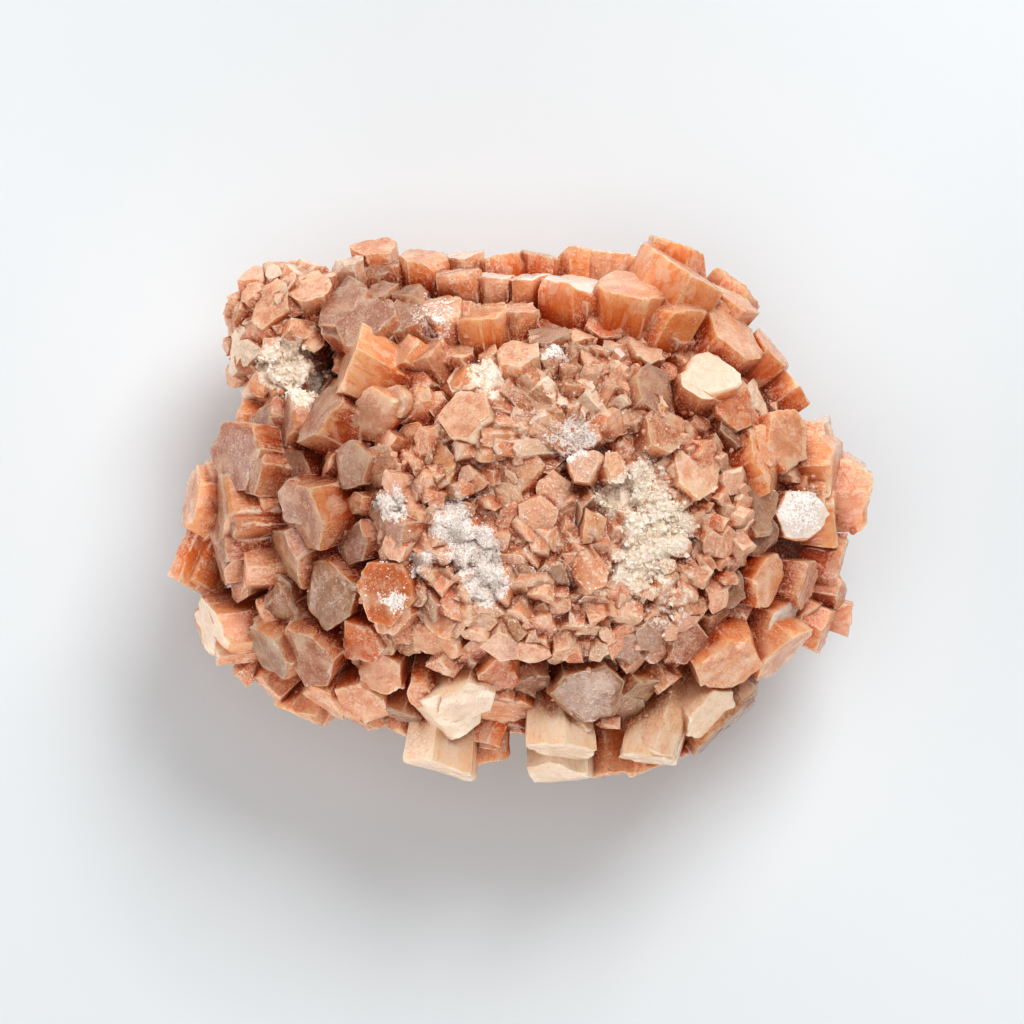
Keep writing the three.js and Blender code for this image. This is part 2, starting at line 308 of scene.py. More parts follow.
# Each crystal: x, y, z of the middle of its end face, its heading, its rise, its width across flats,
# then the tone of its sides and of its end face
mainCrystals = [
    # far rim, lower row
    (-14.8, 26.6, 18.5, 100, 15, 3.8, "peach", "pink"),
    (-17.1, 24.9, 21.0, 100, 28, 3.2, "cream", "cream"),
    (-14.0, 24.5, 20.5, 95, 12, 3.6, "orange", "mauve"),
    (-9.6, 25.3, 20.5, 92, 18, 4.4, "amber", "pink"),
    (-5.7, 25.6, 19.0, 92, 4, 3.6, "peach", "white"),
    (-2.0, 25.5, 18.5, 90, -4, 4.8, "orange", "peach"),
    (2.2, 25.6, 18.5, 88, -2, 4.0, "orange", "peach"),
    (5.9, 26.0, 18.5, 87, -2, 4.4, "amber", "peach"),
    (9.8, 25.7, 19.0, 84, 2, 4.6, "amber", "cream"),
    (16.1, 26.3, 18.5, 75, -4, 6.0, "amber", "pink"),
    (21.9, 22.4, 17.0, 52, -5, 4.8, "amber", "peach"),
    # far rim, upper row
    (-6.1, 23.7, 25.0, 97, 20, 3.6, "amber", "pink"),
    (-2.8, 23.4, 24.5, 92, 10, 3.6, "orange", "white"),
    (0.9, 23.3, 24.5, 90, 8, 3.8, "amber", "white"),
    (5.6, 22.8, 25.5, 86, 14, 6.0, "orange", "white"),
    (6.1, 21.1, 28.0, 86, 20, 3.6, "amber", "pink"),
    (11.2, 22.3, 28.0, 78, 28, 6.4, "amber", "pink"),
    (16.3, 24.1, 24.0, 61, 13, 8.0, "amber", "pink"),
    (21.4, 21.5, 21.0, 52, 12, 5.0, "amber", "pink"),
    (21.4, 17.8, 25.0, 43, 14, 6.6, "orange", "peach"),
    (25.4, 16.0, 21.0, 40, 8, 5.2, "orange", "peach"),
    (27.5, 12.5, 19.0, 38, 4, 5.2, "orange", "peach"),
    # right rim
    (26.6, 7.1, 27.0, 22, 42, 5.8, "orange", "peach"),
    (31.6, 4.5, 21.0, 2, 5, 6.6, "peach", "pink"),
    (31.4, -0.6, 21.0, 358, 5, 6.0, "orange", "peach"),
    (34.7, 2.2, 16.0, 2, -3, 7.6, "orange", "pink"),
    (31.4, 7.8, 19.0, 10, 0, 3.0, "white", "cream"),
    (24.7, 5.2, 29.0, 27, 25, 6.0, "orange", "peach"),
    (17.6, 3.9, 34.5, 20, 62, 5.0, "pink", "pink"),
    (24.7, -7.0, 29.0, 352, 36, 4.8, "orange", "peach"),
    (28.6, -7.3, 24.0, 352, 18, 4.4, "rust", "orange"),
    (22.7, 0.4, 31.0, 10, 60, 5.6, "rust", "mauve"),
    (23.6, -2.5, 30.0, 350, 50, 4.0, "rust", "mauve"),
    (27.9, -0.6, 27.5, 355, 55, 4.6, "rust", "white"),
    (29.0, 1.9, 25.0, 5, 30, 4.2, "orange", "peach"),
    (19.9, -4.0, 33.0, 345, 65, 4.0, "rust", "mauve"),
    (19.7, -7.8, 31.5, 335, 58, 4.8, "rust", "mauve"),
    (32.2, -5.3, 18.5, 352, 2, 4.6, "rust", "orange"),
    (32.4, -8.1, 17.5, 350, 0, 3.6, "rust", "peach"),
    # far right, inside the rim
    (13.5, 11.9, 34.0, 45, 42, 4.8, "pink", "mauve"),
    (18.9, 13.5, 30.0, 58, 42, 5.4, "orange", "cream"),
    (21.6, 10.7, 29.5, 35, 48, 5.0, "rust", "orange"),
    (23.7, 10.9, 26.5, 30, 20, 3.6, "peach", "cream"),
    (14.4, 8.2, 35.0, 35, 50, 4.4, "orange", "orange"),
    (11.5, 15.6, 31.5, 72, 45, 3.8, "orange", "peach"),
    # far side, between the rim and the middle
    (-0.3, 20, 29.3, 92, 18, 3.4, "peach", "pink"),
    (-3.9, 19.7, 29.3, 98, 14, 5, "amber", "peach"),
    (-8.1, 20.2, 28.8, 108, 24, 4.8, "pink", "pink"),
    (-11.9, 19.5, 28.8, 118, 36, 4.6, "pink", "mauve"),
    (-0.4, 15.5, 33.8, 94, 24, 4, "peach", "pink"),
    (2.9, 17.4, 32.3, 88, 26, 3.6, "orange", "mauve"),
    (7.9, 15.1, 32.8, 68, 28, 3.6, "rust", "peach"),
    (4.3, 11.6, 35.8, 82, 36, 3.4, "peach", "cream"),
    (-5.4, 13.2, 34.3, 120, 36, 3.6, "cream", "cream"),
    (-5.6, 9.2, 36.3, 140, 54, 5, "cream", "pink"),
    (-9.6, 15.7, 31.8, 125, 31, 4, "rust", "pink"),
    (-6.6, 15.7, 31.3, 110, 31, 3.4, "rust", "peach"),
    # far left
    (-17.1, 15.1, 29.0, 152, 16, 7.4, "peach", "pink"),
    (-12.3, 15.7, 31.0, 150, 40, 4.4, "amber", "peach"),
    (-14.6, 9.2, 32.5, 205, 55, 4.8, "peach", "pink"),
    (-17.8, 20.4, 26.0, 128, 38, 5.4, "rust", "mauve"),
    (-15.6, 18.9, 28.5, 125, 48, 6.0, "rust", "mauve"),
    (-14.6, 21.9, 24.0, 112, 22, 3.8, "orange", "mauve"),
    (-11.1, 21.9, 25.0, 104, 22, 4.0, "orange", "grey"),
    # left rim
    (-20.1, 9.5, 30.0, 150, 27, 6.2, "rust", "mauve"),
    (-23.4, 9.2, 27.5, 168, 20, 5.0, "rust", "mauve"),
    (-25.9, 9.5, 25.0, 160, 15, 4.0, "rust", "mauve"),
    (-28.3, 9.5, 20.0, 165, -5, 3.6, "amber", "peach"),
    (-28.3, 5.7, 26.5, 172, 38, 6.4, "rust", "mauve"),
    (-23.6, 3.7, 28.5, 185, 50, 5.8, "rust", "mauve"),
    (-32.9, 1.0, 20.0, 178, 16, 6.0, "amber", "peach"),
    (-29.9, 0.3, 24.0, 180, 12, 6.6, "amber", "mauve"),
    (-21.5, -0.8, 32.0, 195, 42, 6.8, "rust", "mauve"),
    (-30.2, -4.3, 23.0, 187, 16, 6.2, "rust", "mauve"),
    (-32.3, -8.1, 18.0, 247, 0, 5.0, "amber", "amber"),
    (-16.9, 4.5, 33.0, 180, 62, 4.2, "rust", "grey"),
    (-13.8, 4.4, 34.0, 165, 60, 3.8, "rust", "orange"),
    (-12.9, 0.0, 34.5, 190, 68, 4.6, "orange", "pink"),
    (-23.3, -4.9, 28.0, 207, 16, 6.2, "rust", "grey"),
    (-19.3, -8.3, 31.0, 205, 48, 6.2, "rust", "grey"),
    (-24.3, -9.3, 26.5, 205, 42, 4.2, "rust", "mauve"),
    (-13.6, -8.1, 33.5, 205, 50, 6.2, "rust", "orange"),
    (-22.1, -11.8, 27.0, 215, 42, 4.0, "rust", "mauve"),
    (-30.9, -12.3, 20.5, 188, 10, 6.2, "peach", "cream"),
    (-32.4, -11.8, 16.5, 192, -8, 3.6, "amber", "orange"),
    (-25.1, -14.3, 24.5, 212, 25, 5.4, "peach", "grey"),
    (-21.3, -14.8, 28.0, 225, 45, 5.8, "rust", "mauve"),
    (-16.1, -13.3, 31.0, 228, 45, 4.8, "rust", "orange"),
    # near rim, left half
    (-25.4, -17.9, 19.0, 222, 8, 4.0, "orange", "pink"),
    (-22.4, -20.5, 18.5, 235, 8, 4.6, "peach", "peach"),
    (-19.6, -19.5, 22.5, 240, 18, 4.4, "peach", "pink"),
    (-15.8, -19.3, 25.0, 248, 32, 4.6, "peach", "peach"),
    (-16.1, -21.4, 18.0, 246, 0, 3.6, "amber", "peach"),
    (-14.1, -16.1, 28.5, 240, 45, 4.6, "peach", "pink"),
    (-11.8, -20.6, 23.5, 255, 22, 3.8, "peach", "grey"),
    (-8.2, -26.0, 20.0, 262, 6, 6.4, "cream", "cream"),
    (-7.1, -20.5, 26.0, 264, 35, 7.0, "cream", "cream"),
    (-3.4, -25.1, 18.5, 268, -3, 4.6, "amber", "peach"),
    (-1.8, -16.5, 31.0, 290, 48, 4.8, "amber", "orange"),
    (-1.3, -20.3, 24.0, 275, 20, 5.4, "orange", "peach"),
    (-6.9, -9.8, 34.5, 240, 70, 5.4, "pink", "pink"),
    (-8.1, -12.8, 32.5, 245, 52, 4.8, "peach", "pink"),
    (-11.9, -11.8, 32.0, 235, 55, 3.4, "rust", "orange"),
    (-9.3, -5.3, 34.5, 215, 65, 4.2, "orange", "pink"),
    (-4.1, -14.3, 31.5, 262, 50, 3.8, "rust", "orange"),
    (-5.1, -18.3, 28.0, 268, 45, 3.6, "rust", "rust"),
    # near rim, right half
    (3.7, -24.1, 23.5, 272, 16, 6.4, "cream", "cream"),
    (4.0, -27.0, 18.0, 270, -1, 6.4, "cream", "cream"),
    (6.9, -18.3, 29.5, 285, 58, 6.4, "grey", "grey"),
    (9.9, -19.8, 27.0, 290, 40, 4.2, "grey", "grey"),
    (9.4, -26.6, 17.5, 276, -3, 4.4, "peach", "peach"),
    (12.7, -24.8, 23.0, 254, 16, 5.2, "cream", "cream"),
    (13.9, -25.7, 17.5, 285, -3, 5.4, "amber", "peach"),
    (19.1, -20.5, 24.0, 305, 40, 5.0, "cream", "cream"),
    (20.5, -21.7, 18.5, 305, -2, 7.2, "grey", "grey"),
    (20.9, -15.3, 27.0, 305, 42, 6.2, "orange", "peach"),
    (26.2, -14.6, 22.5, 318, 20, 6.0, "orange", "peach"),
    (26.4, -11.3, 25.0, 335, 25, 4.4, "peach", "white"),
    (30.8, -12.1, 18.5, 335, 6, 4.8, "orange", "peach"),
    (33.0, -10.9, 17.0, 345, 0, 3.2, "orange", "peach"),
    (16.9, -13.5, 30.0, 300, 40, 3.6, "rust", "rust"),
    (13.5, -13.3, 31.0, 290, 42, 4.4, "rust", "orange"),
    (9.9, -13.8, 32.0, 284, 42, 4.0, "rust", "mauve"),
    (5.9, -12.1, 33.5, 275, 55, 6.0, "orange", "pink"),
    (1.7, -12.1, 33.5, 268, 55, 4.0, "rust", "mauve"),
    (11.9, -18.3, 27.5, 290, 40, 4.6, "peach", "grey"),
    (22.9, -19.1, 21.0, 310, 15, 4.0, "cream", "grey"),
    (-1.6, -11.8, 33.0, 262, 58, 3.6, "rust", "mauve"),
    # middle of the top
    (-0.1, 4.2, 37.0, 120, 72, 4.2, "orange", "peach"),
    (-9.1, 4.1, 35.0, 165, 62, 5.0, "peach", "peach"),
    (-5.8, 3.7, 35.5, 150, 70, 3.6, "rust", "peach"),
    (-10.6, 6.7, 34.5, 160, 60, 4.0, "orange", "peach"),
    (-1.8, 0.5, 37.0, 230, 75, 3.8, "orange", "peach"),
    (3.4, 1.7, 37.5, 300, 80, 3.4, "orange", "peach"),
    (7.9, -7.8, 38.1, 305, 13, 3.0, "amber", "orange"),
    (6.7, 4.2, 37.5, 60, 80, 3.4, "peach", "pink"),
]

# The crystals of the side cluster, in the same terms
sideCrystals = [
    (-25.1, 20.7, 24.0, 140, 55, 4.6, "peach", "pink"),
    (-22.4, 23.8, 21.5, 100, 20, 3.6, "peach", "peach"),
    (-20.9, 22.2, 24.5, 100, 45, 4.0, "peach", "pink"),
    (-28.2, 20.1, 20.0, 168, 5, 3.4, "orange", "peach"),
    (-28.4, 16.5, 19.0, 185, 10, 3.6, "orange", "peach"),
    (-26.2, 16.7, 23.5, 180, 45, 3.8, "peach", "orange"),
    (-23.1, 14.0, 23.5, 200, 60, 3.6, "cream", "cream"),
    (-26.5, 13.3, 19.0, 215, 5, 3.4, "peach", "peach"),
    (-20.6, 19.8, 22.5, 60, 55, 3.8, "rust", "rust"),
    (-26.5, 20.0, 11.5, 145, -35, 4.6, "orange", "peach"),
    (-24.5, 15.0, 9.5, 200, -55, 4.6, "orange", "peach"),
]

# Small crystals with a place of their own
smallCrystals = [
    (-12.6, 24.5, 20.5, 94, 10, 2.3, "orange", "mauve"),
    (2.6, 22.9, 25.0, 89, 10, 2.7, "amber", "orange"),
    (20.1, 4.7, 31.5, 30, 30, 2.4, "orange", "cream"),
    (11.2, 12.2, 34.0, 52, 32, 2.8, "pink", "pink"),
    (10.1, 15.5, 32.0, 75, 45, 3.0, "orange", "peach"),
    (12.5, 15.7, 31.5, 70, 45, 3.2, "orange", "peach"),
    (15.4, 17.7, 28.5, 62, 35, 3.2, "rust", "orange"),
    (5.6, 16.9, 31.5, 78, 35, 3.2, "orange", "mauve"),
    (6.1, 12.2, 35.0, 75, 40, 2.2, "cream", "cream"),
    (-3.1, 13.9, 34.0, 105, 50, 2.6, "grey", "grey"),
    (-1.5, 12.4, 35.0, 112, 35, 2.2, "grey", "grey"),
    (-10.3, 11.0, 33.5, 130, 50, 2.4, "orange", "peach"),
    (-12.6, 10.7, 33.5, 170, 60, 3.2, "peach", "pink"),
    (-27.1, 21.9, 22.5, 150, 20, 2.4, "peach", "peach"),
    (-19.3, 23.7, 20.5, 95, 10, 2.6, "peach", "peach"),
    (-23.6, 22.4, 23.5, 120, 35, 3.0, "peach", "pink"),
    (-25.1, 11.2, 22.5, 200, 30, 3.0, "orange", "peach"),
    (-28.1, -7.6, 23.5, 195, 25, 2.8, "rust", "mauve"),
    (-28.5, -16.5, 18.5, 215, 5, 2.4, "peach", "peach"),
    (-12.1, -22.3, 19.5, 256, 5, 2.6, "peach", "grey"),
    (-9.8, -18.1, 29.0, 258, 45, 2.6, "amber", "orange"),
    (1.6, -0.5, 37.2, 260, 75, 3.0, "orange", "peach"),
    (7.1, -1.5, 37.2, 320, 72, 2.8, "orange", "peach"),
    (9.4, 4.2, 37.2, 30, 70, 2.8, "orange", "peach"),
    (-3.1, 6.4, 36.8, 130, 70, 2.6, "peach", "pink"),
]


# Numbers that look random and are the same each run, with channels that keep the uses of one index apart
scatterWave = {"index": 12.9898, "channel": 78.233, "height": 43758.5453}


def scatter(index, channel):
    turn = index * scatterWave["index"] + channel * scatterWave["channel"]
    wave = math.sin(turn) * scatterWave["height"]
    return wave - math.floor(wave)


def stray(index, channel):
    return 2 * scatter(index, channel) - 1


def direction(heading, rise):
    turn = math.radians(heading)
    lift = math.radians(rise)
    return Vector((math.cos(turn) * math.cos(lift), math.sin(turn) * math.cos(lift), math.sin(lift)))


def bearings(away):
    heading = math.degrees(math.atan2(away.y, away.x))
    return heading, math.degrees(math.atan2(away.z, math.hypot(away.x, away.y)))


def over(a, b):
    return Vector((a.x / b.x, a.y / b.y, a.z / b.z))


def onBall(ray):
    start = over(cluster["heart"] - cluster["ballCentre"], cluster["ballRadii"])
    along = over(ray, cluster["ballRadii"])
    a = along.length_squared
    b = start.dot(along)
    c = start.length_squared - 1
    return cluster["heart"] + ray * ((-b + math.sqrt(b * b - a * c)) / a)


def ballTop(x, y):
    share = 1 - (x / cluster["ballRadii"].x) ** 2 - (y / cluster["ballRadii"].y) ** 2
    return cluster["ballCentre"].z + cluster["ballRadii"].z * math.sqrt(max(share, 0))


# Rows under the rim, as in the solid, and finer ones between them: count, first heading, rise, mean width and
# how far they are sunk
lowerRows = {
    "solid": [(15, 6, -14, 6.6, 0), (13, 15, -36, 6.4, 0), (9, 0, -62, 6.2, -0.08)],
    "finer": [
        (19, 0, -22, 4.2, 0.03), (17, 4, -27, 3.6, 0.06), (15, 9, -46, 4.0, 0.03), (24, 3, -7, 3.4, 0.06),
    ],
    "spread": 6,
    "drop": 0.12,
    "widthSpread": 0.2,
    "nearHeading": 270,  # around here the near tones are used
    "nearSpan": 60,
    "tones": ["amber", "orange", "orange", "rust", "peach"],
    "capTones": ["mauve", "peach", "pink", "mauve", "cream"],
    "nearTones": ["peach", "cream", "amber", "cream", "grey"],
}


def lowerCrystals(rows, level):
    made = []
    spread = lowerRows["spread"]
    for step, (count, first, rise, width, sink) in enumerate(rows):
        for k in range(count):
            key = 100 * (level + step) + k
            heading = first + 360 * k / count + spread * stray(key, 50)
            lift = rise + spread * stray(key, 51)
            tip = onBall(direction(heading, lift))
            tip = tip.lerp(cluster["heart"], sink + lowerRows["drop"] * scatter(key, 52))
            isNear = abs(heading % 360 - lowerRows["nearHeading"]) < lowerRows["nearSpan"]
            sides = lowerRows["nearTones" if isNear else "tones"]
            caps = lowerRows["capTones"]
            body = sides[int(len(sides) * scatter(key, 54))]
            cap = caps[int(len(caps) * scatter(key, 55))]
            wide = width * (1 + lowerRows["widthSpread"] * stray(key, 53))
            made.append((*tip, heading, lift, wide, body, cap))
    return made


# Wide crystals stand prouder than narrow ones
stand = {"level": 4.6, "slope": 0.5, "spread": 0.8, "low": -1.2, "high": 2.0, "top": 38.0}


def proud(row, index):
    x, y, z, heading, rise, width, body, cap = row
    lift = stand["slope"] * (width - stand["level"]) + stand["spread"] * stray(index, 70)
    lift = min(max(lift, stand["low"]), stand["high"])
    return x, y, min(z + lift, max(z, stand["top"])), heading, rise, width, body, cap


# Small crystals: a jumble in the middle of the top, needles round the navel, a few wedged between the large
# ones, and the lumps of the side cluster
fill = {
    "middle": {
        "count": 380, "x": 4.5, "y": -1.5, "reach": (18.5, 13.0), "gap": 1.3, "widths": (1.4, 3.3),
        "bowl": 2.6, "bowlWidth": 8, "rootHeight": 20, "sink": 0.6, "drop": 1.5, "lean": 20,
    },
    "needles": {
        "count": 80, "reach": (3.5, 11.0), "headings": (15, 185), "rises": (10, 34), "gap": 1.1,
        "widths": (1.3, 2.6), "sink": 0.3, "drop": 1.2, "lean": 8,
        "tones": ["mauve", "pink", "grey", "cream", "mauve", "orange"],
        "capTones": ["pink", "cream", "mauve", "white", "pink", "grey"],
    },
    "wedged": {
        "count": 360, "gap": 2.1, "widths": (1.8, 3.8), "sinks": (0.08, 0.24), "lean": 14, "lowest": -0.7,
        "clearance": 0.52, "behind": 12,  # none stands this close to a large crystal's axis
    },
    "lumps": {
        "count": 100, "reach": (7.0, 7.8, 8.4), "depths": (0.8, 1.06), "gap": 1.7, "widths": (2.0, 3.09),
        "lean": 30, "inmost": 0.35,
        "tones": ["peach", "orange", "amber", "pink"],
        "capTones": ["peach", "pink", "amber", "cream"],
    },
    "nearSide": {
        "above": 26, "before": -6,
        "tones": ["mauve", "rosy", "mauve", "orange"],
        "capTones": ["mauve", "grey", "pink", "rosy"],
    },
    "tones": ["rosy", "pink", "orange", "mauve", "rosy", "pink"],
    "capTones": ["rosy", "pink", "rosy", "peach", "mauve", "pink"],
    "triesEach": 30,
    "seed": 7,
}


def smallRow(rng, tip, away, size, own=fill):
    heading, rise = bearings(away)
    heading += rng.uniform(-size["lean"], size["lean"])
    rise += rng.uniform(-size["lean"], size["lean"])
    near = fill["nearSide"]
    if tip.z > near["above"] and tip.y < near["before"]:
        own = near
    width = rng.uniform(*size["widths"])
    return (*tip, heading, rise, width, rng.choice(own["tones"]), rng.choice(own["capTones"]))


def anyway(rng):
    return Vector((rng.gauss(0, 1), rng.gauss(0, 1), rng.gauss(0, 1))).normalized()


def spaced(rng, size, pick):
    kept = []
    for _ in range(fill["triesEach"] * size["count"]):
        spot = pick()
        if spot is not None and all((spot - other).length > size["gap"] for other in kept):
            kept.append(spot)
        if len(kept) == size["count"]:
            break
    return kept


def middleCrystals(rng):
    size = fill["middle"]

    def pick():
        angle = rng.uniform(0, 2 * math.pi)
        reach = math.sqrt(rng.random())
        x = size["x"] + size["reach"][0] * reach * math.cos(angle)
        y = size["y"] + size["reach"][1] * reach * math.sin(angle)
        fromNavel = (Vector((x, y)) - cluster["navel"].xy).length
        bowl = size["bowl"] * math.exp(-(fromNavel / size["bowlWidth"]) ** 2)
        return Vector((x, y, ballTop(x, y) - size["sink"] - bowl - size["drop"] * rng.random()))

    root = Vector((*cluster["navel"].xy, size["rootHeight"]))
    return [smallRow(rng, spot, spot - root, size) for spot in spaced(rng, size, pick)]


def needleCrystals(rng):
    size = fill["needles"]
    navel = cluster["navel"]

    def pick():
        away = direction(rng.uniform(*size["headings"]), 0) * rng.uniform(*size["reach"])
        x = navel.x + away.x
        y = navel.y + away.y
        return Vector((x, y, ballTop(x, y) - size["sink"] - size["drop"] * rng.random()))

    made = []
    for spot in spaced(rng, size, pick):
        away = spot - navel
        away.z = math.tan(math.radians(rng.uniform(*size["rises"]))) * away.xy.length
        made.append(smallRow(rng, spot, away, size, size))
    return made


def isCovered(spot, row):
    away = spot - Vector(row[:3])
    axis = direction(row[3], row[4])
    along = away.dot(axis)
    size = fill["wedged"]
    return along > -size["behind"] and (away - axis * along).length < size["clearance"] * row[5]


def wedgedCrystals(rng, large):
    size = fill["wedged"]

    def pick():
        away = anyway(rng)
        if away.z < size["lowest"]:
            return None
        spot = onBall(away).lerp(cluster["heart"], rng.uniform(*size["sinks"]))
        return None if any(isCovered(spot, row) for row in large) else spot

    return [smallRow(rng, spot, spot - cluster["heart"], size) for spot in spaced(rng, size, pick)]


def lumpCrystals(rng):
    size = fill["lumps"]
    centre = cluster["sideHeart"]
    inward = (cluster["heart"] - centre).normalized()

    def pick():
        away = anyway(rng)
        if away.dot(inward) > size["inmost"]:
            return None
        spread = Vector([a * b for a, b in zip(away, size["reach"])])
        return centre + spread * rng.uniform(*size["depths"])

    return [smallRow(rng, spot, spot - centre, size, size) for spot in spaced(rng, size, pick)]


# How a crystal is made up: partners grown along it, corners broken off, a tilted end
growth = {
    "partnerFrom": 4.0,
    "partnerCounts": (0, 1),  # drawn by lot
    "morePartnersFrom": 4.6,
    "morePartnerCounts": (0, 1, 1, 2),
    "partnerTurn": (110, 220),
    "partnerWidth": (0.5, 0.86),
    "partnerShift": (0.2, 0.42),
    "partnerDrop": (0.0, 0.35),
    "partnerLean": 2.5,
    "partnerCorners": (0.9, 1.1),
    "partnerTall": 0.95,
    "besidePartner": 0.95,  # a crystal with partners is this much narrower
    "bites": [(0.0, 0.3), (0.0, 0.2), (-0.02, 0.1)],
    "smallBites": [(0.08, 0.34), (0.05, 0.3), (0.0, 0.25)],
    "biteLean": (28, 68),
    "tilt": 0.2,
    "finest": 3.1,  # narrower crystals are small ones
    "large": 4.4,  # wider ones get the finest mesh
    "smallTall": (2.4, 2.0),  # a small one is at most so many widths and so many millimetres long
    "smallWild": 2.6,  # and so many times less even
    "smallClear": 0.1,
    "seed": 23,
}


def crystal(row, centre, depth, index):
    x, y, z, heading, rise, width, body, cap = row
    isSmall = width < growth["finest"]
    tip = Vector((x, y, z))
    axis = direction(heading, rise)
    upright = Vector((0, 0, 1))
    stance = upright.rotation_difference(axis) @ Quaternion(upright, math.pi * scatter(index, 12))
    length = depth * (tip - centre).length
    if isSmall:
        widths, more = growth["smallTall"]
        length = min(length, widths * width + more)
    radius = cluster["swell"] * width / 2 / math.cos(math.pi / cluster["sides"])
    wild = growth["smallWild"] if isSmall else 1
    corners = []
    for corner in range(cluster["sides"]):
        turn = 360 / cluster["sides"] * corner + wild * cluster["cornerTurn"] * stray(index, corner)
        turn = math.radians(turn)
        reach = radius * (1 + wild * cluster["cornerReach"] * stray(index, corner + cluster["sides"]))
        corners.append(Vector((reach * math.cos(turn), reach * math.sin(turn), 0)))
    return {
        "tip": tip, "axis": axis, "sideways": stance @ Vector((1, 0, 0)), "wide": width, "tall": length,
        "bodyTone": tones[body], "capTone": tones[cap], "corners": corners,
        "clear": growth["smallClear"] if isSmall else clearness.get(cap, 0.0),
    }


def partners(main, rng):
    made = []
    across = main["axis"].cross(main["sideways"])
    first = rng.uniform(0, 360)
    hasMore = main["wide"] > growth["morePartnersFrom"]
    for k in range(rng.choice(growth["morePartnerCounts" if hasMore else "partnerCounts"])):
        turn = math.radians(first + k * rng.uniform(*growth["partnerTurn"]))
        shift = main["wide"] * rng.uniform(*growth["partnerShift"])
        spot = main["tip"] + (main["sideways"] * math.cos(turn) + across * math.sin(turn)) * shift
        spot = spot - main["axis"] * main["wide"] * rng.uniform(*growth["partnerDrop"])
        size = rng.uniform(*growth["partnerWidth"])
        lean = [math.radians(rng.uniform(-1, 1) * growth["partnerLean"]) for _ in range(2)]
        axis = (main["axis"] + main["sideways"] * lean[0] + across * lean[1]).normalized()
        sideways = (main["sideways"] - axis * main["sideways"].dot(axis)).normalized()
        corners = [corner * size * rng.uniform(*growth["partnerCorners"]) for corner in main["corners"]]
        made.append({
            **main, "tip": spot, "axis": axis, "sideways": sideways, "corners": corners,
            "wide": main["wide"] * size, "tall": main["tall"] * growth["partnerTall"],
        })
    return made


def addBreaks(made, rng):
    isSmall = made["wide"] < growth["finest"]
    made["tilt"] = [growth["tilt"] * rng.uniform(-1, 1), growth["tilt"] * rng.uniform(-1, 1), rng.random()]
    made["cuts"] = []
    for low, high in growth["smallBites" if isSmall else "bites"]:
        turn = rng.uniform(0, 2 * math.pi)
        lean = math.radians(rng.uniform(*growth["biteLean"]))
        normal = Vector((math.sin(lean) * math.cos(turn), math.sin(lean) * math.sin(turn), math.cos(lean)))
        reach = max(corner.dot(normal) for corner in made["corners"])
        made["cuts"].append((normal, reach - made["wide"] * rng.uniform(low, high)))


def pointsMesh(name, made):
    mesh = bpy.data.meshes.new(name)
    mesh.from_pydata([tuple(one["tip"]) for one in made], [], [])
    layers = {"axis": "vector", "sideways": "vector", "tilt": "vector", "wide": "value", "tall": "value",
              "bodyTone": "color", "capTone": "color", "detail": "value", "clear": "value"}
    for one in made:
        one["detail"] = int(one["wide"] >= growth["finest"]) + int(one["wide"] > growth["large"])
        for k, corner in enumerate(one["corners"]):
            one[f"corner{k}"] = corner
            layers[f"corner{k}"] = "vector"
        for k, (normal, reach) in enumerate(one["cuts"]):
            one[f"cut{k}"] = normal
            one[f"cutReach{k}"] = reach
            layers[f"cut{k}"] = "vector"
            layers[f"cutReach{k}"] = "value"
    kinds = {"vector": "FLOAT_VECTOR", "value": "FLOAT", "color": "FLOAT_COLOR"}
    for key, field in layers.items():
        layer = mesh.attributes.new(key, kinds[field], "POINT")
        flat = []
        for one in made:
            flat.extend([one[key]] if field == "value" else one[key])
        layer.data.foreach_set(field, flat)
    layer = mesh.attributes.new("crystal", "INT", "POINT")
    layer.data.foreach_set("value", list(range(len(made))))
    print(name, len(made))
    return mesh


def allCrystals():
    rng = random.Random(growth["seed"])
    heart = cluster["heart"]
    lower = lowerCrystals(lowerRows["solid"], 1)
    solid = [proud(row, k) for k, row in enumerate(mainCrystals)] + lower
    rows = [(row, heart, cluster["rootDepth"]) for row in solid]
    rows += [(row, cluster["sideHeart"], cluster["sideRootDepth"]) for row in sideCrystals]
    rows += [(row, heart, cluster["finerRootDepth"]) for row in lowerCrystals(lowerRows["finer"], 11)]
    fillRng = random.Random(fill["seed"])
    wedged = wedgedCrystals(fillRng, mainCrystals + lower)
    fine = smallCrystals + middleCrystals(fillRng) + needleCrystals(fillRng)
    fine = fine + wedged + lumpCrystals(fillRng)
    rows += [(row, heart, cluster["fillRootDepth"]) for row in fine]
    groups = {"crystals": [], "underCrystals": [], "smallCrystals": []}
    for index, (row, centre, depth) in enumerate(rows):
        made = crystal(row, centre, depth, index)
        if row[5] < growth["finest"]:
            group = "smallCrystals"
        else:
            group = "underCrystals" if row[2] < cluster["underBelow"] else "crystals"
        companions = partners(made, rng) if made["wide"] >= growth["partnerFrom"] else []
        if companions:
            made["corners"] = [corner * growth["besidePartner"] for corner in made["corners"]]
        for one in [made] + companions:
            addBreaks(one, rng)
            groups[group].append(one)
    return groups


# What a piece of crystals is grown with: the tree's own inputs
crystalShape = {
    "Large steps": 6, "Middle steps": 4, "Small steps": 2,  # columns to a side
    "Large rows": 8, "Middle rows": 6, "Small rows": 3,
    "Flute": 0.012, "Ledge": 0.005, "Round": 0.03, "Jag": 0.3, "Relief": 0.16, "Warp": 0.6, "Knobs": 1.0,
}

# What each piece is grown over or broken off on
joinedWith = {"crystals": ("cores",), "underCrystals": ("cores", "ground"), "smallCrystals": ()}

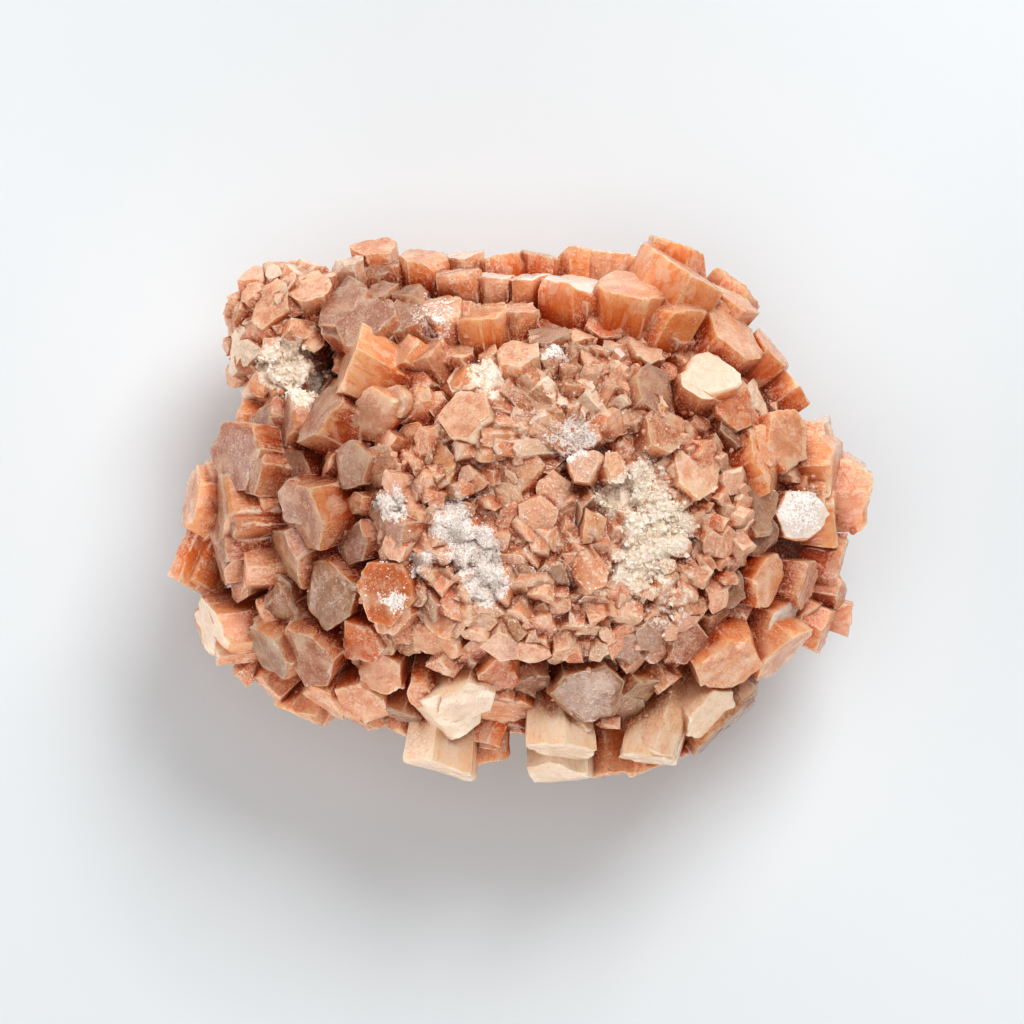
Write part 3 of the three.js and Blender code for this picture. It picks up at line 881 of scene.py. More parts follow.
# Proportions inside the tree
form = {
    "endRings": {"Small": 2, "Middle": 3, "Large": 4},
    "taper": 1.6,
    "ringBend": 1.5,  # the rings of an end face crowd towards its rim
    "grooved": 0.55,  # this share of the columns has no groove
    "ledges": 20,
    "stepSize": 1.0,
    "steps": 0.7,
    "cornerBend": 3,
    "endCut": 0.25,  # a jagged rim draws in by this share
    "apart": (7.31, 1.7, 0.6),  # steps between the patterns of two crystals
    "warpScale": 0.13,
    "knobScale": 0.7,
    "rugged": (3.0, 5.5, 1.0, 0.3),  # full at the first width, least at the second
    "coreLumps": 2.4,
    "coreLumpScale": 0.5,
    "sideCore": 0.9,
    "groundSize": (50.0, 44.0, 8.0),
    "groundGrid": (100, 88, 2),
    "groundScale": 0.6,
    "groundLevel": 0.3,  # the share of the noise at which the ground is at its own height
    "groundBreaks": 0.7,
    # the root tone is partly the crystal's own colour and partly painted shade
    "fadeWidth": 3.0,  # a side turns to its root tone over a share of its width, or of this, and a length
    "fadeShare": 0.6,
    "fadeLength": 2.4,
}

# Marks of a face: 0 is a side and 1 an end
faceMarks = {"end": 1.0, "brokenFrom": 1.5, "core": 2.0, "ground": 3.0}


def unitPrism(g, size, rings):
    steps = g.given(size + " steps")
    around = steps * float(cluster["sides"])
    prism = g.add("GeometryNodeMeshCylinder", Vertices=around, Side_Segments=g.given(size + " rows"),
                  Fill_Segments=rings, Radius=1.0, Depth=1.0)
    x, y, z = g.parts(g.here())
    turn = g.math("ARCTAN2", y, x) / (2 * math.pi)
    column = g.math("FLOORED_MODULO", g.math("FLOOR", turn * around + 0.5), around)
    mesh = g.store(g.out(prism, "Mesh"), "column", column)
    mesh = g.store(mesh, "perSide", steps)
    mesh = g.store(mesh, "ring", g.math("MINIMUM", g.length(g.join(x, y, 0.0)), 1.0))
    mesh = g.store(mesh, "fall", 0.5 - z)
    return g.store(mesh, "capFace", g.out(prism, "Top"), "FLOAT", "FACE")


def prismsOn(g, tips):
    prisms = []
    for level, (size, rings) in enumerate(form["endRings"].items()):
        chosen = g.math("COMPARE", g.attribute("detail"), float(level), 0.1)
        placed = g.add("GeometryNodeInstanceOnPoints", Points=tips, Selection=chosen,
                       Instance=unitPrism(g, size, rings))
        prisms.append(g.out(placed))
    return g.realize(g.together(*prisms))


# The outline seen along the axis: its corners joined up, with grooves, ledges and worn corners
def outline(g, owner, fall, down):
    column = g.attribute("column")
    perSide = g.attribute("perSide")
    side = g.math("FLOOR", column / perSide + 0.001)
    share = column / perSide - side
    corners = [g.attribute(f"corner{k}", "FLOAT_VECTOR") for k in range(cluster["sides"])]
    first = g.choose(side, corners)
    second = g.choose(g.math("FLOORED_MODULO", side + 1.0, float(cluster["sides"])), corners)
    reach = 1.0 - g.math("POWER", 1.0 - g.attribute("ring"), form["ringBend"])
    groove = g.ramp(g.dice(column, owner, 3.0), form["grooved"], 1.0)
    groove = groove * (g.math("MINIMUM", share * 50.0, 1.0) * 0.8 + 0.2)
    ledge = (g.dice(fall * float(form["ledges"]), side, owner) - 0.5) * g.math("MINIMUM", fall * 6.0, 1.0)
    swell = 1.0 - down * (1.0 - cluster["rootWidth"])
    swell = swell * (1.0 - groove * g.given("Flute") + ledge * g.given("Ledge"))
    corner = g.math("POWER", g.math("ABSOLUTE", share * 2.0 - 1.0), float(form["cornerBend"]))
    worn = g.given("Round") * g.dice(owner, 8.0, 1.0)
    return (first + (second - first) * share) * reach * swell * (1.0 - corner * worn)


# A prism in its own space: the outline with a tapered root and a tilted, stepped, broken end
def ownShape(g, owner, wide, apart):
    fall = g.attribute("fall")
    down = g.math("POWER", fall, form["taper"])
    flat = outline(g, owner, fall, down)
    spot = flat * 0.6 + apart
    steps = g.cells(spot, form["stepSize"])[0] - 0.5
    ripple = g.noise(spot, 3.0, 3.0, 0.6) - 0.5
    height = (steps * form["steps"] + ripple) * g.given("Relief") * g.math("MINIMUM", wide * 0.25, 1.0)
    height = height + g.dot(flat, g.attribute("tilt", "FLOAT_VECTOR") * (1.0, 1.0, 0.0))
    isRim = g.math("GREATER_THAN", g.attribute("ring"), 0.99) * g.math("LESS_THAN", fall, 0.001)
    jag = g.math("POWER", g.dice(g.attribute("column"), owner, 9.0), 3.0)
    jag = jag * g.given("Jag") * g.math("MINIMUM", wide * 0.2, 1.0)
    x, y, _ = g.parts(flat * (1.0 - jag * isRim * form["endCut"]))
    place = g.join(x, y, height * (1.0 - down) - down * g.attribute("tall") - jag * isRim)
    for k in range(len(growth["bites"])):
        bite = g.attribute(f"cut{k}", "FLOAT_VECTOR")
        excess = g.math("MAXIMUM", g.dot(place, bite) - g.attribute(f"cutReach{k}"), 0.0)
        place = place - bite * excess
    return place


# Each prism stood on its tip, along its own axis, then warped and made knobbly
def shapedPrisms(g, tips):
    prisms = prismsOn(g, tips)
    owner = g.attribute("crystal", "INT")
    wide = g.attribute("wide")
    step, *turns = form["apart"]
    seed = owner * step
    apart = g.join(seed, *[seed * turn for turn in turns])
    x, y, z = g.parts(ownShape(g, owner, wide, apart))
    axis = g.attribute("axis", "FLOAT_VECTOR")
    sideways = g.attribute("sideways", "FLOAT_VECTOR")
    across = g.math("CROSS_PRODUCT", axis, sideways)
    tip = g.look(tips, g.here(), owner, "FLOAT_VECTOR")
    prisms = g.place(prisms, tip + sideways * x + across * y + axis * z)
    warp = (g.noise(g.here(), form["warpScale"], 2.0, output="Color") - 0.5) * g.given("Warp")
    knobs = g.noise(g.here() + apart, form["knobScale"], 3.0, 0.6, "Color") - 0.5
    prisms = g.place(prisms, None, warp + knobs * g.given("Knobs") * g.ramp(wide, *form["rugged"]))
    return g.store(prisms, "owner", owner, "INT", "FACE")


def marked(g, mesh, kind):
    mesh = g.store(mesh, "capFace", faceMarks[kind], "FLOAT", "FACE")
    return g.store(mesh, "owner", 0, "INT", "FACE")


def core(g, centre, radii):
    ball = g.add("GeometryNodeMeshIcoSphere", Radius=1.0, Subdivisions=4)
    mesh = g.place(g.out(ball, "Mesh"), g.here() * tuple(radii) + tuple(centre))
    lumps = g.noise(g.here(), form["coreLumpScale"], 4.0, 0.6) - 0.5
    return marked(g, g.place(mesh, None, g.normal() * lumps * form["coreLumps"]), "core")


# The ground's uneven top breaks off what would reach below it
def ground(g):
    columns, rows, layers = form["groundGrid"]
    block = g.add("GeometryNodeMeshCube", Size=form["groundSize"], Vertices_X=columns, Vertices_Y=rows,
                  Vertices_Z=layers)
    mesh = g.place(g.out(block, "Mesh"), None, (0.0, 0.0, -form["groundSize"][2] / 2))
    x, y, z = g.parts(g.here())
    broken = g.noise(g.join(x, y, 0.0), form["groundScale"], 4.0, 0.65) - form["groundLevel"]
    broken = broken * g.math("GREATER_THAN", z, -1.0) * form["groundBreaks"]
    return marked(g, g.place(mesh, None, g.join(0.0, 0.0, broken)), "ground")


# What the finish reads from each face
def withNotes(g, whole, tips):
    def ofTip(name, kind="FLOAT"):
        return g.look(tips, g.attribute(name, kind), owner, kind)

    owner = g.attribute("owner", "INT")
    kind = g.attribute("capFace")
    isEnd = g.math("COMPARE", kind, faceMarks["end"], 0.1)
    isBroken = g.math("GREATER_THAN", kind, faceMarks["brokenFrom"])
    away = g.here() - g.look(tips, g.here(), owner, "FLOAT_VECTOR")
    axis = ofTip("axis", "FLOAT_VECTOR")
    sideways = ofTip("sideways", "FLOAT_VECTOR")
    along = g.dot(away, axis) * -1.0
    seed = g.dice(owner, 1.0, 2.0) * 40.0
    across = g.dot(away, g.math("CROSS_PRODUCT", axis, sideways))
    grain = g.join(g.dot(away, sideways), across, along) + g.join(seed, seed, 0.0)
    tint = g.mix(isEnd, ofTip("bodyTone", "FLOAT_COLOR"), ofTip("capTone", "FLOAT_COLOR"))
    fade = g.math("MAXIMUM", ofTip("wide"), form["fadeWidth"]) * form["fadeShare"] + form["fadeLength"]
    cloud = g.noise(grain * (1.0, 1.0, 0.5), 0.45, 2.0, 0.5, "Color")
    rugged = g.math("MAXIMUM", g.ramp(ofTip("wide"), *form["rugged"]), isBroken)
    for name, value, field, domain in (
        ("grain", grain, "FLOAT_VECTOR", "CORNER"),
        ("tint", g.mix(isBroken, tint, tones["rust"]), "FLOAT_COLOR", "FACE"),
        ("fate", g.dice(owner, 5.0, 6.0), "FLOAT", "FACE"),
        ("clear", ofTip("clear"), "FLOAT", "FACE"),
        ("rugged", rugged, "FLOAT", "FACE"),
        ("rootShare", along / fade, "FLOAT", "CORNER"),
        ("cloud", cloud, "FLOAT_VECTOR", "CORNER"),
    ):
        whole = g.store(whole, name, value, field, domain)
    return whole


def crystalNodes(name):
    kinds = {label: "Int" if isinstance(value, int) else "Float" for label, value in crystalShape.items()}
    g = Nodes(name, kinds)
    tips = g.given("Geometry")
    split = g.add("GeometryNodeSplitToInstances", {"domain": "FACE"}, Geometry=shapedPrisms(g, tips),
                  Group_ID=g.attribute("owner", "INT"))
    solids = [g.out(split, "Instances")]
    if "cores" in joinedWith[name]:
        solids.append(core(g, cluster["heart"], cluster["coreRadii"]))
        solids.append(core(g, cluster["sideHeart"], cluster["sideRadii"] * form["sideCore"]))
    whole = g.boolean("UNION", None, *solids)
    if "ground" in joinedWith[name]:
        whole = g.boolean("DIFFERENCE", whole, ground(g))
    g.finish(withNotes(g, whole, tips))
    return g


# Patches of the top as x, y, radius and strength: where white powder lies, and where the cream crust grows
patches = {
    "powder": [(-6.6, -1.2, 2.2, 1), (-4.6, -4.0, 3.0, 1), (-3.2, -7.2, 2.4, 1), (28.1, -0.2, 2.4, 0.66),
               (-12.8, 0.4, 1.8, 1), (-9.6, -5.0, 1.3, 1), (5.2, 7.0, 2.6, 0.8), (3.6, 15.2, 1.2, 0.8),
               (-8.4, 19.0, 2.8, 0.45), (-12.5, -8.6, 1.2, 0.8), (4.5, 1.0, 17.0, 0.22),
               (-10.0, -8.0, 9.0, 0.2)],
    "cream": [(12.0, 2.2, 3.0, 1), (13.6, -1.8, 4.0, 1), (11.6, -5.4, 2.8, 1), (9.0, 1.0, 2.0, 0.8),
              (-3.4, 13.2, 2.0, 0.9), (-23.4, 14.2, 3.2, 1), (-21.6, 12.2, 2.2, 1), (14.0, -9.0, 4.0, 0.4)],
}

# A patch ends between two shares of its radius, with a wandering border, and lies on what faces up
patchEdge = {"wander": 3.4, "inner": 0.55, "outer": 1.15, "upward": (-0.35, 0.3), "heights": (16.0, 22.0)}

# How crevices and edges are told: rays around each point, and how far an edge bends, in radians
shutIn = {"rays": 12, "turn": 2.39996, "reach": 5.0, "lift": 0.06, "edgeBend": 0.75, "sharpBend": 0.5}


def patchMask(g, name):
    x, y, z = g.parts(g.here())
    wander = (g.noise(g.here(), 0.6, 4.0, 0.65) - 0.5) * patchEdge["wander"]
    mask = None
    for middleX, middleY, radius, strength in patches[name]:
        gap = g.length(g.join(x - middleX, y - middleY, 0.0)) + wander
        spot = g.ramp(gap, radius * patchEdge["inner"], radius * patchEdge["outer"], strength, 0.0)
        mask = spot if mask is None else g.math("MAXIMUM", mask, spot)
    upward = g.ramp(g.parts(g.normal())[2], *patchEdge["upward"])
    return mask * upward * g.ramp(z, *patchEdge["heights"])


# How shut in each point is: the share of its rays that meet something near
def shutShare(g, around):
    shut = None
    for k in range(shutIn["rays"]):
        height = 1 - 2 * (k + 0.5) / shutIn["rays"]
        turn = shutIn["turn"] * k
        level = math.sqrt(1 - height * height)
        lean = (level * math.cos(turn), level * math.sin(turn), height)
        ray = g.add("GeometryNodeRaycast", Target_Geometry=around, Ray_Length=g.given("Reach"),
                    Source_Position=g.here() + g.normal() * shutIn["lift"],
                    Ray_Direction=g.normal() * (1 + shutIn["lift"]) + lean)
        hit = g.out(ray, "Is Hit") * (1.0 - g.out(ray, "Hit Distance") / g.given("Reach"))
        shut = hit if shut is None else shut + hit
    return shut / float(shutIn["rays"])


# Adds to a grown piece what the finish and the grains read: crevices, edges and patches
def noteNodes():
    g = Nodes("notes", {"First": "Object", "Second": "Object", "Reach": "Float"})
    own = g.given("Geometry")
    around = g.together(own, g.shapeOf("First"), g.shapeOf("Second"))
    whole = g.store(own, "shut", shutShare(g, around))
    soft = g.add("GeometryNodeBlurAttribute", {"data_type": "FLOAT"}, Value=g.attribute("shut"), Iterations=1)
    whole = g.store(whole, "shut", g.out(soft))
    bend = g.out(g.add("GeometryNodeInputMeshEdgeAngle"), "Signed Angle")
    edges = g.add("GeometryNodeDeleteGeometry", {"domain": "EDGE", "mode": "ALL"}, Geometry=own,
                  Selection=g.math("LESS_THAN", bend, shutIn["edgeBend"]))
    near = g.add("GeometryNodeProximity", {"target_element": "EDGES"}, Geometry=g.out(edges),
                 Sample_Position=g.here())
    whole = g.store(whole, "edge", g.out(near, "Distance"))
    for name in patches:
        whole = g.store(whole, name, patchMask(g, name))
    isSharp = g.math("GREATER_THAN", g.math("ABSOLUTE", bend), shutIn["sharpBend"])
    smooth = g.add("GeometryNodeSetShadeSmooth", {"domain": "FACE"}, Geometry=whole, Shade_Smooth=True)
    crisp = g.add("GeometryNodeSetShadeSmooth", {"domain": "EDGE"}, Geometry=g.out(smooth), Selection=isSharp,
                  Shade_Smooth=False)
    g.finish(g.out(crisp))
    return g


# Grains: white powder, cream crust, and crumbs in the crevices
grains = {
    "powder": {
        "patch": "powder", "shape": (4, 2), "density": 26, "sizes": (0.14, 0.4),
        "everywhere": 0.0, "crevice": 0.0, "seed": 3, "tone": (255, 251, 246), "second": (230, 208, 196),
    },
    "creamCrust": {
        "patch": "cream", "shape": (4, 2), "density": 7, "sizes": (0.2, 0.75),
        "everywhere": 0.0, "crevice": 0.0, "seed": 5, "tone": (255, 250, 238), "second": (250, 230, 204),
    },
    "crumbs": {
        "patch": None, "shape": (5, 3), "density": 0.9, "sizes": (0.2, 0.9),
        "everywhere": 0.12, "crevice": 1.0, "seed": 9, "tone": (230, 172, 142), "second": (190, 104, 66),
    },
}

# What all grains share
grainForm = {
    "everywhereHeights": (14.0, 22.0),  # loose crumbs lie from here up
    "patchBend": 3.0,
    "crevices": (0.12, 0.4),
    "blockRadius": 0.6,
    "fullTurn": 6.3,
    "sizeBend": 2.0,  # most grains are near the smallest
    "wide": (0.5, 1.0),
    "tall": (0.5, 1.2),
    "uneven": 0.4,
    "unevenScale": 3.0,
}


def grainNodes(name, size):
    g = Nodes(name, {"Large": "Object", "Fine": "Object", "Density": "Float", "Smallest": "Float",
                     "Largest": "Float", "Everywhere": "Float", "Crevice": "Float", "Seed": "Int"})

    def chance(low, high, step):
        seed = g.given("Seed") + float(step)
        return g.out(g.add("FunctionNodeRandomValue", {"data_type": "FLOAT"}, Min=low, Max=high, Seed=seed))

    mask = g.given("Everywhere") * g.ramp(g.parts(g.here())[2], *grainForm["everywhereHeights"])
    if size["patch"]:
        patch = g.math("POWER", g.attribute(size["patch"]), grainForm["patchBend"])
        mask = g.math("MAXIMUM", mask, patch)
    crevice = g.given("Crevice")
    hollow = 1.0 - crevice + crevice * g.ramp(g.attribute("shut"), *grainForm["crevices"])
    spread = g.add("GeometryNodeDistributePointsOnFaces", {"distribute_method": "RANDOM"},
                   Mesh=g.together(g.shapeOf("Large"), g.shapeOf("Fine")),
                   Density=g.given("Density") * mask * hollow, Seed=g.given("Seed"))
    around, rings = size["shape"]
    block = g.add("GeometryNodeMeshUVSphere", Segments=around, Rings=rings, Radius=grainForm["blockRadius"])
    turn = g.join(*[chance(0.0, grainForm["fullTurn"], step) for step in (1, 2, 3)])
    share = g.math("POWER", chance(0.0, 1.0, 4), grainForm["sizeBend"])
    scale = g.given("Smallest") + (g.given("Largest") - g.given("Smallest")) * share
    scale = scale * g.join(1.0, chance(*grainForm["wide"], 6), chance(*grainForm["tall"], 7))
    points = g.store(g.out(spread, "Points"), "pick", chance(0.0, 1.0, 5))
    placed = g.add("GeometryNodeInstanceOnPoints", Points=points, Instance=g.out(block, "Mesh"),
                   Rotation=turn, Scale=scale)
    uneven = g.noise(g.here(), grainForm["unevenScale"], 1.0, output="Color") - 0.5
    uneven = uneven * grainForm["uneven"] * g.given("Largest")
    g.finish(g.place(g.realize(g.out(placed)), None, uneven))
    return g


# A colour that a finish is built up on, a step at a time
class Coat:
    def __init__(self, g, colour):
        self.g = g
        self.colour = colour

    def tint(self, share, colour):
        self.colour = self.g.mix(share, self.colour, colour)

    def deepen(self, share, left):
        self.colour = self.g.mix(share, self.colour, (*left, 1.0), "MULTIPLY")


# What the crystals' finish mixes in
tints = {
    "blush": paint(255, 224, 204),
    "ash": paint(206, 172, 158),
    # painted glow of light through thin tips
    "goldTipGlow": paint(255, 218, 170),
    "pinkTipGlow": paint(252, 208, 186),
    "goldCloud": paint(255, 206, 148),
    "pinkCloud": paint(248, 194, 166),
    "line": paint(255, 228, 198),
    "endCloud": paint(255, 222, 198),
    "broken": paint(200, 132, 98),
    "chip": paint(255, 236, 220),
    "flaw": paint(255, 240, 224),
    "crack": paint(255, 244, 232),
    # painted highlight on the ends of some crystals
    "litEnd": paint(255, 220, 206),
    # worn edges and painted edge highlights
    "wornEdgeAndHighlight": paint(255, 240, 226),
    "sugar": paint(255, 232, 212),
    "fleckAndGlint": paint(255, 248, 240),
    "rustDot": paint(170, 90, 56),
    "crustHollow": paint(240, 222, 198),
    "crust": paint(255, 250, 240),
    "dustHollow": paint(190, 160, 144),
    "dust": paint(255, 251, 246),
}

# Scales of its patterns to the millimetre, and its gloss
finish = {
    "striae": (3.6, 3.6, 0.12),
    "mottle": 1.1,
    "frost": 4.0,
    "chips": 1.2,
    "roughness": 0.42,
    "polish": 0.35,
    "scatter": 0.8,
    "scatterRadius": (1.0, 0.46, 0.26),
    "scatterScale": 0.0024,
    "ior": 1.55,
    "leastClear": 0.1,
    "bump": 0.6,
    "bumpHeight": 0.00013,
}

# What is left of red, green and blue where the finish deepens
deeper = {
    "crystal": (0.92, 0.76, 0.64),
    # darker towards the root, partly the crystal's own colour and partly painted shade
    "middle": (0.9, 0.69, 0.46),
    "root": (0.68, 0.49, 0.37),
    "sideCloud": (0.94, 0.74, 0.58),
    "line": (0.84, 0.6, 0.44),
    # painted shade in the middle of ends
    "end": (0.82, 0.75, 0.7),
    "blotch": (0.88, 0.7, 0.58),
    "chip": (0.84, 0.66, 0.54),
    # painted shade in crevices
    "crevice": (0.55, 0.26, 0.14),
    "everything": (0.97, 0.81, 0.68),
}


# What the mesh tells of each point, and the patterns that follow its crystal
def crystalNotes(g):
    names = ("edge", "capFace", "fate", "rugged", "rootShare", "clear", "shut", "cream", "powder")
    on = SimpleNamespace(**{name: g.read(name) for name in names})
    grain = g.read("grain", "Vector")
    on.isEnd = g.math("COMPARE", on.capFace, faceMarks["end"], 0.1)
    on.isBroken = g.math("GREATER_THAN", on.capFace, faceMarks["brokenFrom"])
    on.cloud = g.parts(g.read("cloud", "Vector"))
    on.striae = g.noise(grain * finish["striae"], 1.0, 3.0, 0.7)
    on.mottle = g.noise(grain, finish["mottle"], 3.0, 0.65)
    on.frost = g.noise(grain, finish["frost"], 2.0, 0.8)
    on.chips = g.cells(grain * (1.0, 1.0, 0.6) + on.cloud[1] * 3.0, finish["chips"])
    on.tint = g.read("tint", "Color")
    on.deep = 1.0 - g.ramp(g.parts(on.tint)[2], 0.55, 0.85) * 0.7  # pale crystals deepen less
    on.depth = on.rootShare + (on.striae - 0.5) * 0.9 + (on.mottle - 0.5) * 0.5
    return on


# No two crystals are of quite the same tone
def ownTint(g, on):
    coat = Coat(g, on.tint)
    coat.deepen(g.ramp(on.fate, 0.0, 1.0, 1.0, 0.0) * on.deep, deeper["crystal"])
    blushing = g.ramp(g.math("FRACT", on.fate * 7.0), 0.5, 1.0)
    coat.tint(blushing * on.deep * (on.rugged * 0.2 + 0.35), tints["blush"])
    ashen = g.ramp(g.math("FRACT", on.fate * 13.0), 0.55, 1.0)
    coat.tint(ashen * on.rugged * on.deep * 0.5, tints["ash"])
    return coat.colour


# Sides: pale at the end, a painted glow of light through the thin tip, golden, then red-brown at the root,
# partly their own colour and partly painted shade, with ragged borders, and lines along them
def sideColour(g, on, colour):
    coat = Coat(g, colour)
    tip = g.mix(on.rugged, tints["goldTipGlow"], tints["pinkTipGlow"])
    # painted glow: the end of each side is painted paler, as light shining through the thin tip
    coat.tint(g.ramp(on.depth, 0.0, 0.3, 0.75, 0.0) * on.deep, tip)
    # deeper towards the root: partly the crystal's own colour, partly painted shade
    coat.deepen(g.ramp(on.depth, 0.3, 0.7) * on.deep, deeper["middle"])
    coat.deepen(g.ramp(on.depth, 0.8, 1.3) * on.deep, deeper["root"])
    cloud = g.mix(on.rugged, tints["goldCloud"], tints["pinkCloud"])
    coat.tint(g.ramp(on.cloud[1], 0.5, 0.66) * 0.5, cloud)
    coat.deepen(g.ramp(on.cloud[0], 0.4, 0.6) * on.deep, deeper["sideCloud"])
    coat.tint(g.ramp(on.striae, 0.54, 0.72) * (0.55 - on.rugged * 0.2), tints["line"])
    share = g.ramp(on.striae, 0.32, 0.46, 1.0, 0.0) * on.deep * (0.8 - on.rugged * 0.3)
    coat.deepen(share, deeper["line"])
    return coat.colour


# Ends: a paler rim and a clear, greyer middle, whose darkening is painted shade seen inside the clear
# crystal, with soft darker and paler clouds
def endColour(g, on, colour):
    coat = Coat(g, colour)
    inward = on.edge + (on.mottle - 0.5) * 1.6
    # painted shade: the middle of an end darkens away from its edges, as the shade inside a clear crystal
    coat.deepen(g.ramp(inward, 0.2, 0.9) * g.ramp(on.fate, 0.1, 0.8) * on.deep, deeper["end"])
    coat.tint(g.ramp(on.cloud[0], 0.45, 0.62) * on.deep * 0.5, tints["endCloud"])
    coat.deepen(g.ramp(on.mottle, 0.46, 0.62) * on.rugged * 0.5, deeper["blotch"])
    return coat.colour


# Blotches, chips and cracks inside, that catch the light or let it through
def addFlaws(g, on, coat):
    coat.deepen(g.ramp(on.mottle, 0.48, 0.62) * (on.rugged * 0.3 + 0.3) * on.deep, deeper["blotch"])
    coat.deepen(g.ramp(on.chips[0], 0.5, 0.95) * (on.rugged * 0.2 + 0.2) * on.deep, deeper["chip"])
    coat.tint(g.math("GREATER_THAN", on.chips[1], 0.88) * 0.3, tints["chip"])
    flaw = on.cloud[0] + (on.mottle - 0.5) * 0.5
    coat.tint(g.ramp(flaw, 0.6, 0.64) * 0.45, tints["flaw"])
    crack = 1.0 - g.ramp(g.math("ABSOLUTE", on.mottle - 0.5), 0.0, 0.025)
    coat.tint(crack * g.ramp(on.cloud[2], 0.5, 0.56) * 0.6, tints["crack"])


# Painted highlights on some ends, painted shade in crevices, worn edges with painted edge highlights, sugary
# frost, white flecks that partly stand in for glints, and rusty dots
def addWearAndPaintedLight(g, on, coat):
    # painted highlight: the ends of some crystals are painted paler, as if catching the light
    lit = g.ramp(g.math("FRACT", on.fate * 5.0), 0.3, 0.9) * on.isEnd * on.rugged * 0.45
    coat.tint(lit, tints["litEnd"])
    # painted shade: points shut in by near surfaces are painted darker and redder, as shade in the crevices
    coat.deepen(g.ramp(on.shut - on.rugged * 0.08, 0.1, 0.5), deeper["crevice"])
    # worn edges, partly real wear and partly painted highlight where light catches the edges, most on clear
    # ends
    worn = g.ramp(on.edge, 0.05, 0.2, 1.0, 0.0) * g.ramp(on.mottle + on.clear * 0.2, 0.46, 0.6)
    coat.tint(worn * (on.rugged * 0.4 + 0.3 + on.clear * 0.4), tints["wornEdgeAndHighlight"])
    sugar = g.ramp(on.cloud[2] + on.rugged * 0.08 + on.clear * on.isEnd * 0.12, 0.44, 0.58)
    coat.tint(g.ramp(on.frost, 0.5, 0.58) * sugar * 0.4, tints["sugar"])
    # white flecks that partly stand in for painted glints of light
    flecks = g.pick(on.isEnd, on.rugged * 0.3 + 0.2, 0.7 - on.rugged * 0.2)
    coat.tint(g.ramp(on.frost, 0.61, 0.67) * flecks, tints["fleckAndGlint"])
    coat.tint(g.ramp(on.frost, 0.3, 0.35, 1.0, 0.0) * 0.4, tints["rustDot"])
    coat.deepen(on.deep * 0.8 + 0.2, deeper["everything"])


# Cream crust and white powder, as shares of the surface
def addCover(g, on, coat):
    cream = g.ramp(on.cream + (on.mottle - 0.5) * 1.6 + (on.frost - 0.5) * 0.8, 0.3, 0.7)
    coat.tint(cream * 0.75, g.mix(g.ramp(on.frost, 0.4, 0.6), tints["crustHollow"], tints["crust"]))
    dust = g.ramp(on.powder + (on.frost - 0.5) * 1.0 + (on.mottle - 0.5) * 1.1, 0.35, 0.65)
    coat.tint(dust * 0.9, g.mix(g.ramp(on.frost, 0.36, 0.52), tints["dustHollow"], tints["dust"]))
    return g.math("MAXIMUM", cream, dust)


def crystalMaterial():
    material, g = newMaterial("aragoniteCrystal")
    on = crystalNotes(g)
    own = ownTint(g, on)
    coat = Coat(g, g.mix(on.isEnd, sideColour(g, on, own), endColour(g, on, own)))
    coat.tint(on.isBroken * g.ramp(on.mottle, 0.35, 0.65), tints["broken"])
    addFlaws(g, on, coat)
    addWearAndPaintedLight(g, on, coat)
    bare = 1.0 - addCover(g, on, coat)
    clear = on.clear * g.pick(on.isEnd, g.ramp(on.depth, 0.2, 0.9, 0.8, 0.2), 1.0)
    relief = on.striae * (1.0 - on.isEnd) * 0.8 + on.mottle * (on.rugged * 4.0 + 0.6)
    relief = relief + on.frost * (on.rugged * 0.7 + 0.4)
    g.dress(
        Base_Color=coat.colour,
        Roughness=finish["roughness"] - bare * finish["polish"] + g.ramp(on.mottle, 0.35, 0.65) * 0.1,
        Subsurface_Weight=bare * on.deep * (finish["scatter"] - on.rugged * 0.6),
        Subsurface_Radius=finish["scatterRadius"],
        Subsurface_Scale=finish["scatterScale"],
        IOR=finish["ior"],
        Transmission_Weight=g.math("MAXIMUM", clear, finish["leastClear"]) * bare * (1.0 - on.isBroken),
        Normal=g.bump(relief, finish["bump"], finish["bumpHeight"]),
    )
    return material


grainFinish = {
    "pale": paint(250, 236, 222),
    "cloudScale": 900.0,  # to the metre, as the next one
    "bumpScale": 4000.0,
    "roughness": 0.35,
    "scatter": 0.2,
    "scatterRadius": (0.9, 0.95, 1.0),
    "scatterScale": 0.0003,
    "bump": 0.4,
    "bumpHeight": 0.0001,
}


def grainMaterial(name, size):
    material, g = newMaterial(name)
    place = g.out(g.add("ShaderNodeTexCoord"), "Object")
    cloud = g.noise(place, grainFinish["cloudScale"], 3.0, 0.6)
    colour = g.mix(g.read("pick"), paint(*size["tone"]), paint(*size["second"]))
    fine = g.noise(place, grainFinish["bumpScale"], 2.0, 0.6)
    g.dress(
        Base_Color=g.mix(g.ramp(cloud, 0.45, 0.7) * 0.5, colour, grainFinish["pale"]),
        Roughness=grainFinish["roughness"] + cloud * 0.4,
        Subsurface_Weight=grainFinish["scatter"],
        Subsurface_Radius=grainFinish["scatterRadius"],
        Subsurface_Scale=grainFinish["scatterScale"],
        Normal=g.bump(fine, grainFinish["bump"], grainFinish["bumpHeight"]),
    )
    return material


def growCrystals(pieces):
    material = crystalMaterial()
    for name, made in allCrystals().items():
        pieces[name] = newObject(name, pointsMesh(name + "Tips", made))
        grow(pieces[name], crystalNodes(name), material, crystalShape)
    notes = noteNodes()
    names = list(pieces)
    for k, name in enumerate(names):
        others = {"First": pieces[names[k - 1]], "Second": pieces[names[k - 2]]}
        grow(pieces[name], notes, material, {**others, "Reach": shutIn["reach"]})
    print("crystals grown")


def scatterGrains(pieces):
    for name, size in grains.items():
        pieces[name] = newObject(name, bpy.data.meshes.new(name))
        grow(pieces[name], grainNodes(name, size), grainMaterial(name, size), {
            "Large": pieces["crystals"], "Fine": pieces["smallCrystals"], "Density": size["density"],
            "Smallest": size["sizes"][0], "Largest": size["sizes"][1], "Everywhere": size["everywhere"],
            "Crevice": size["crevice"], "Seed": size["seed"],
        })
    print("grains scattered")


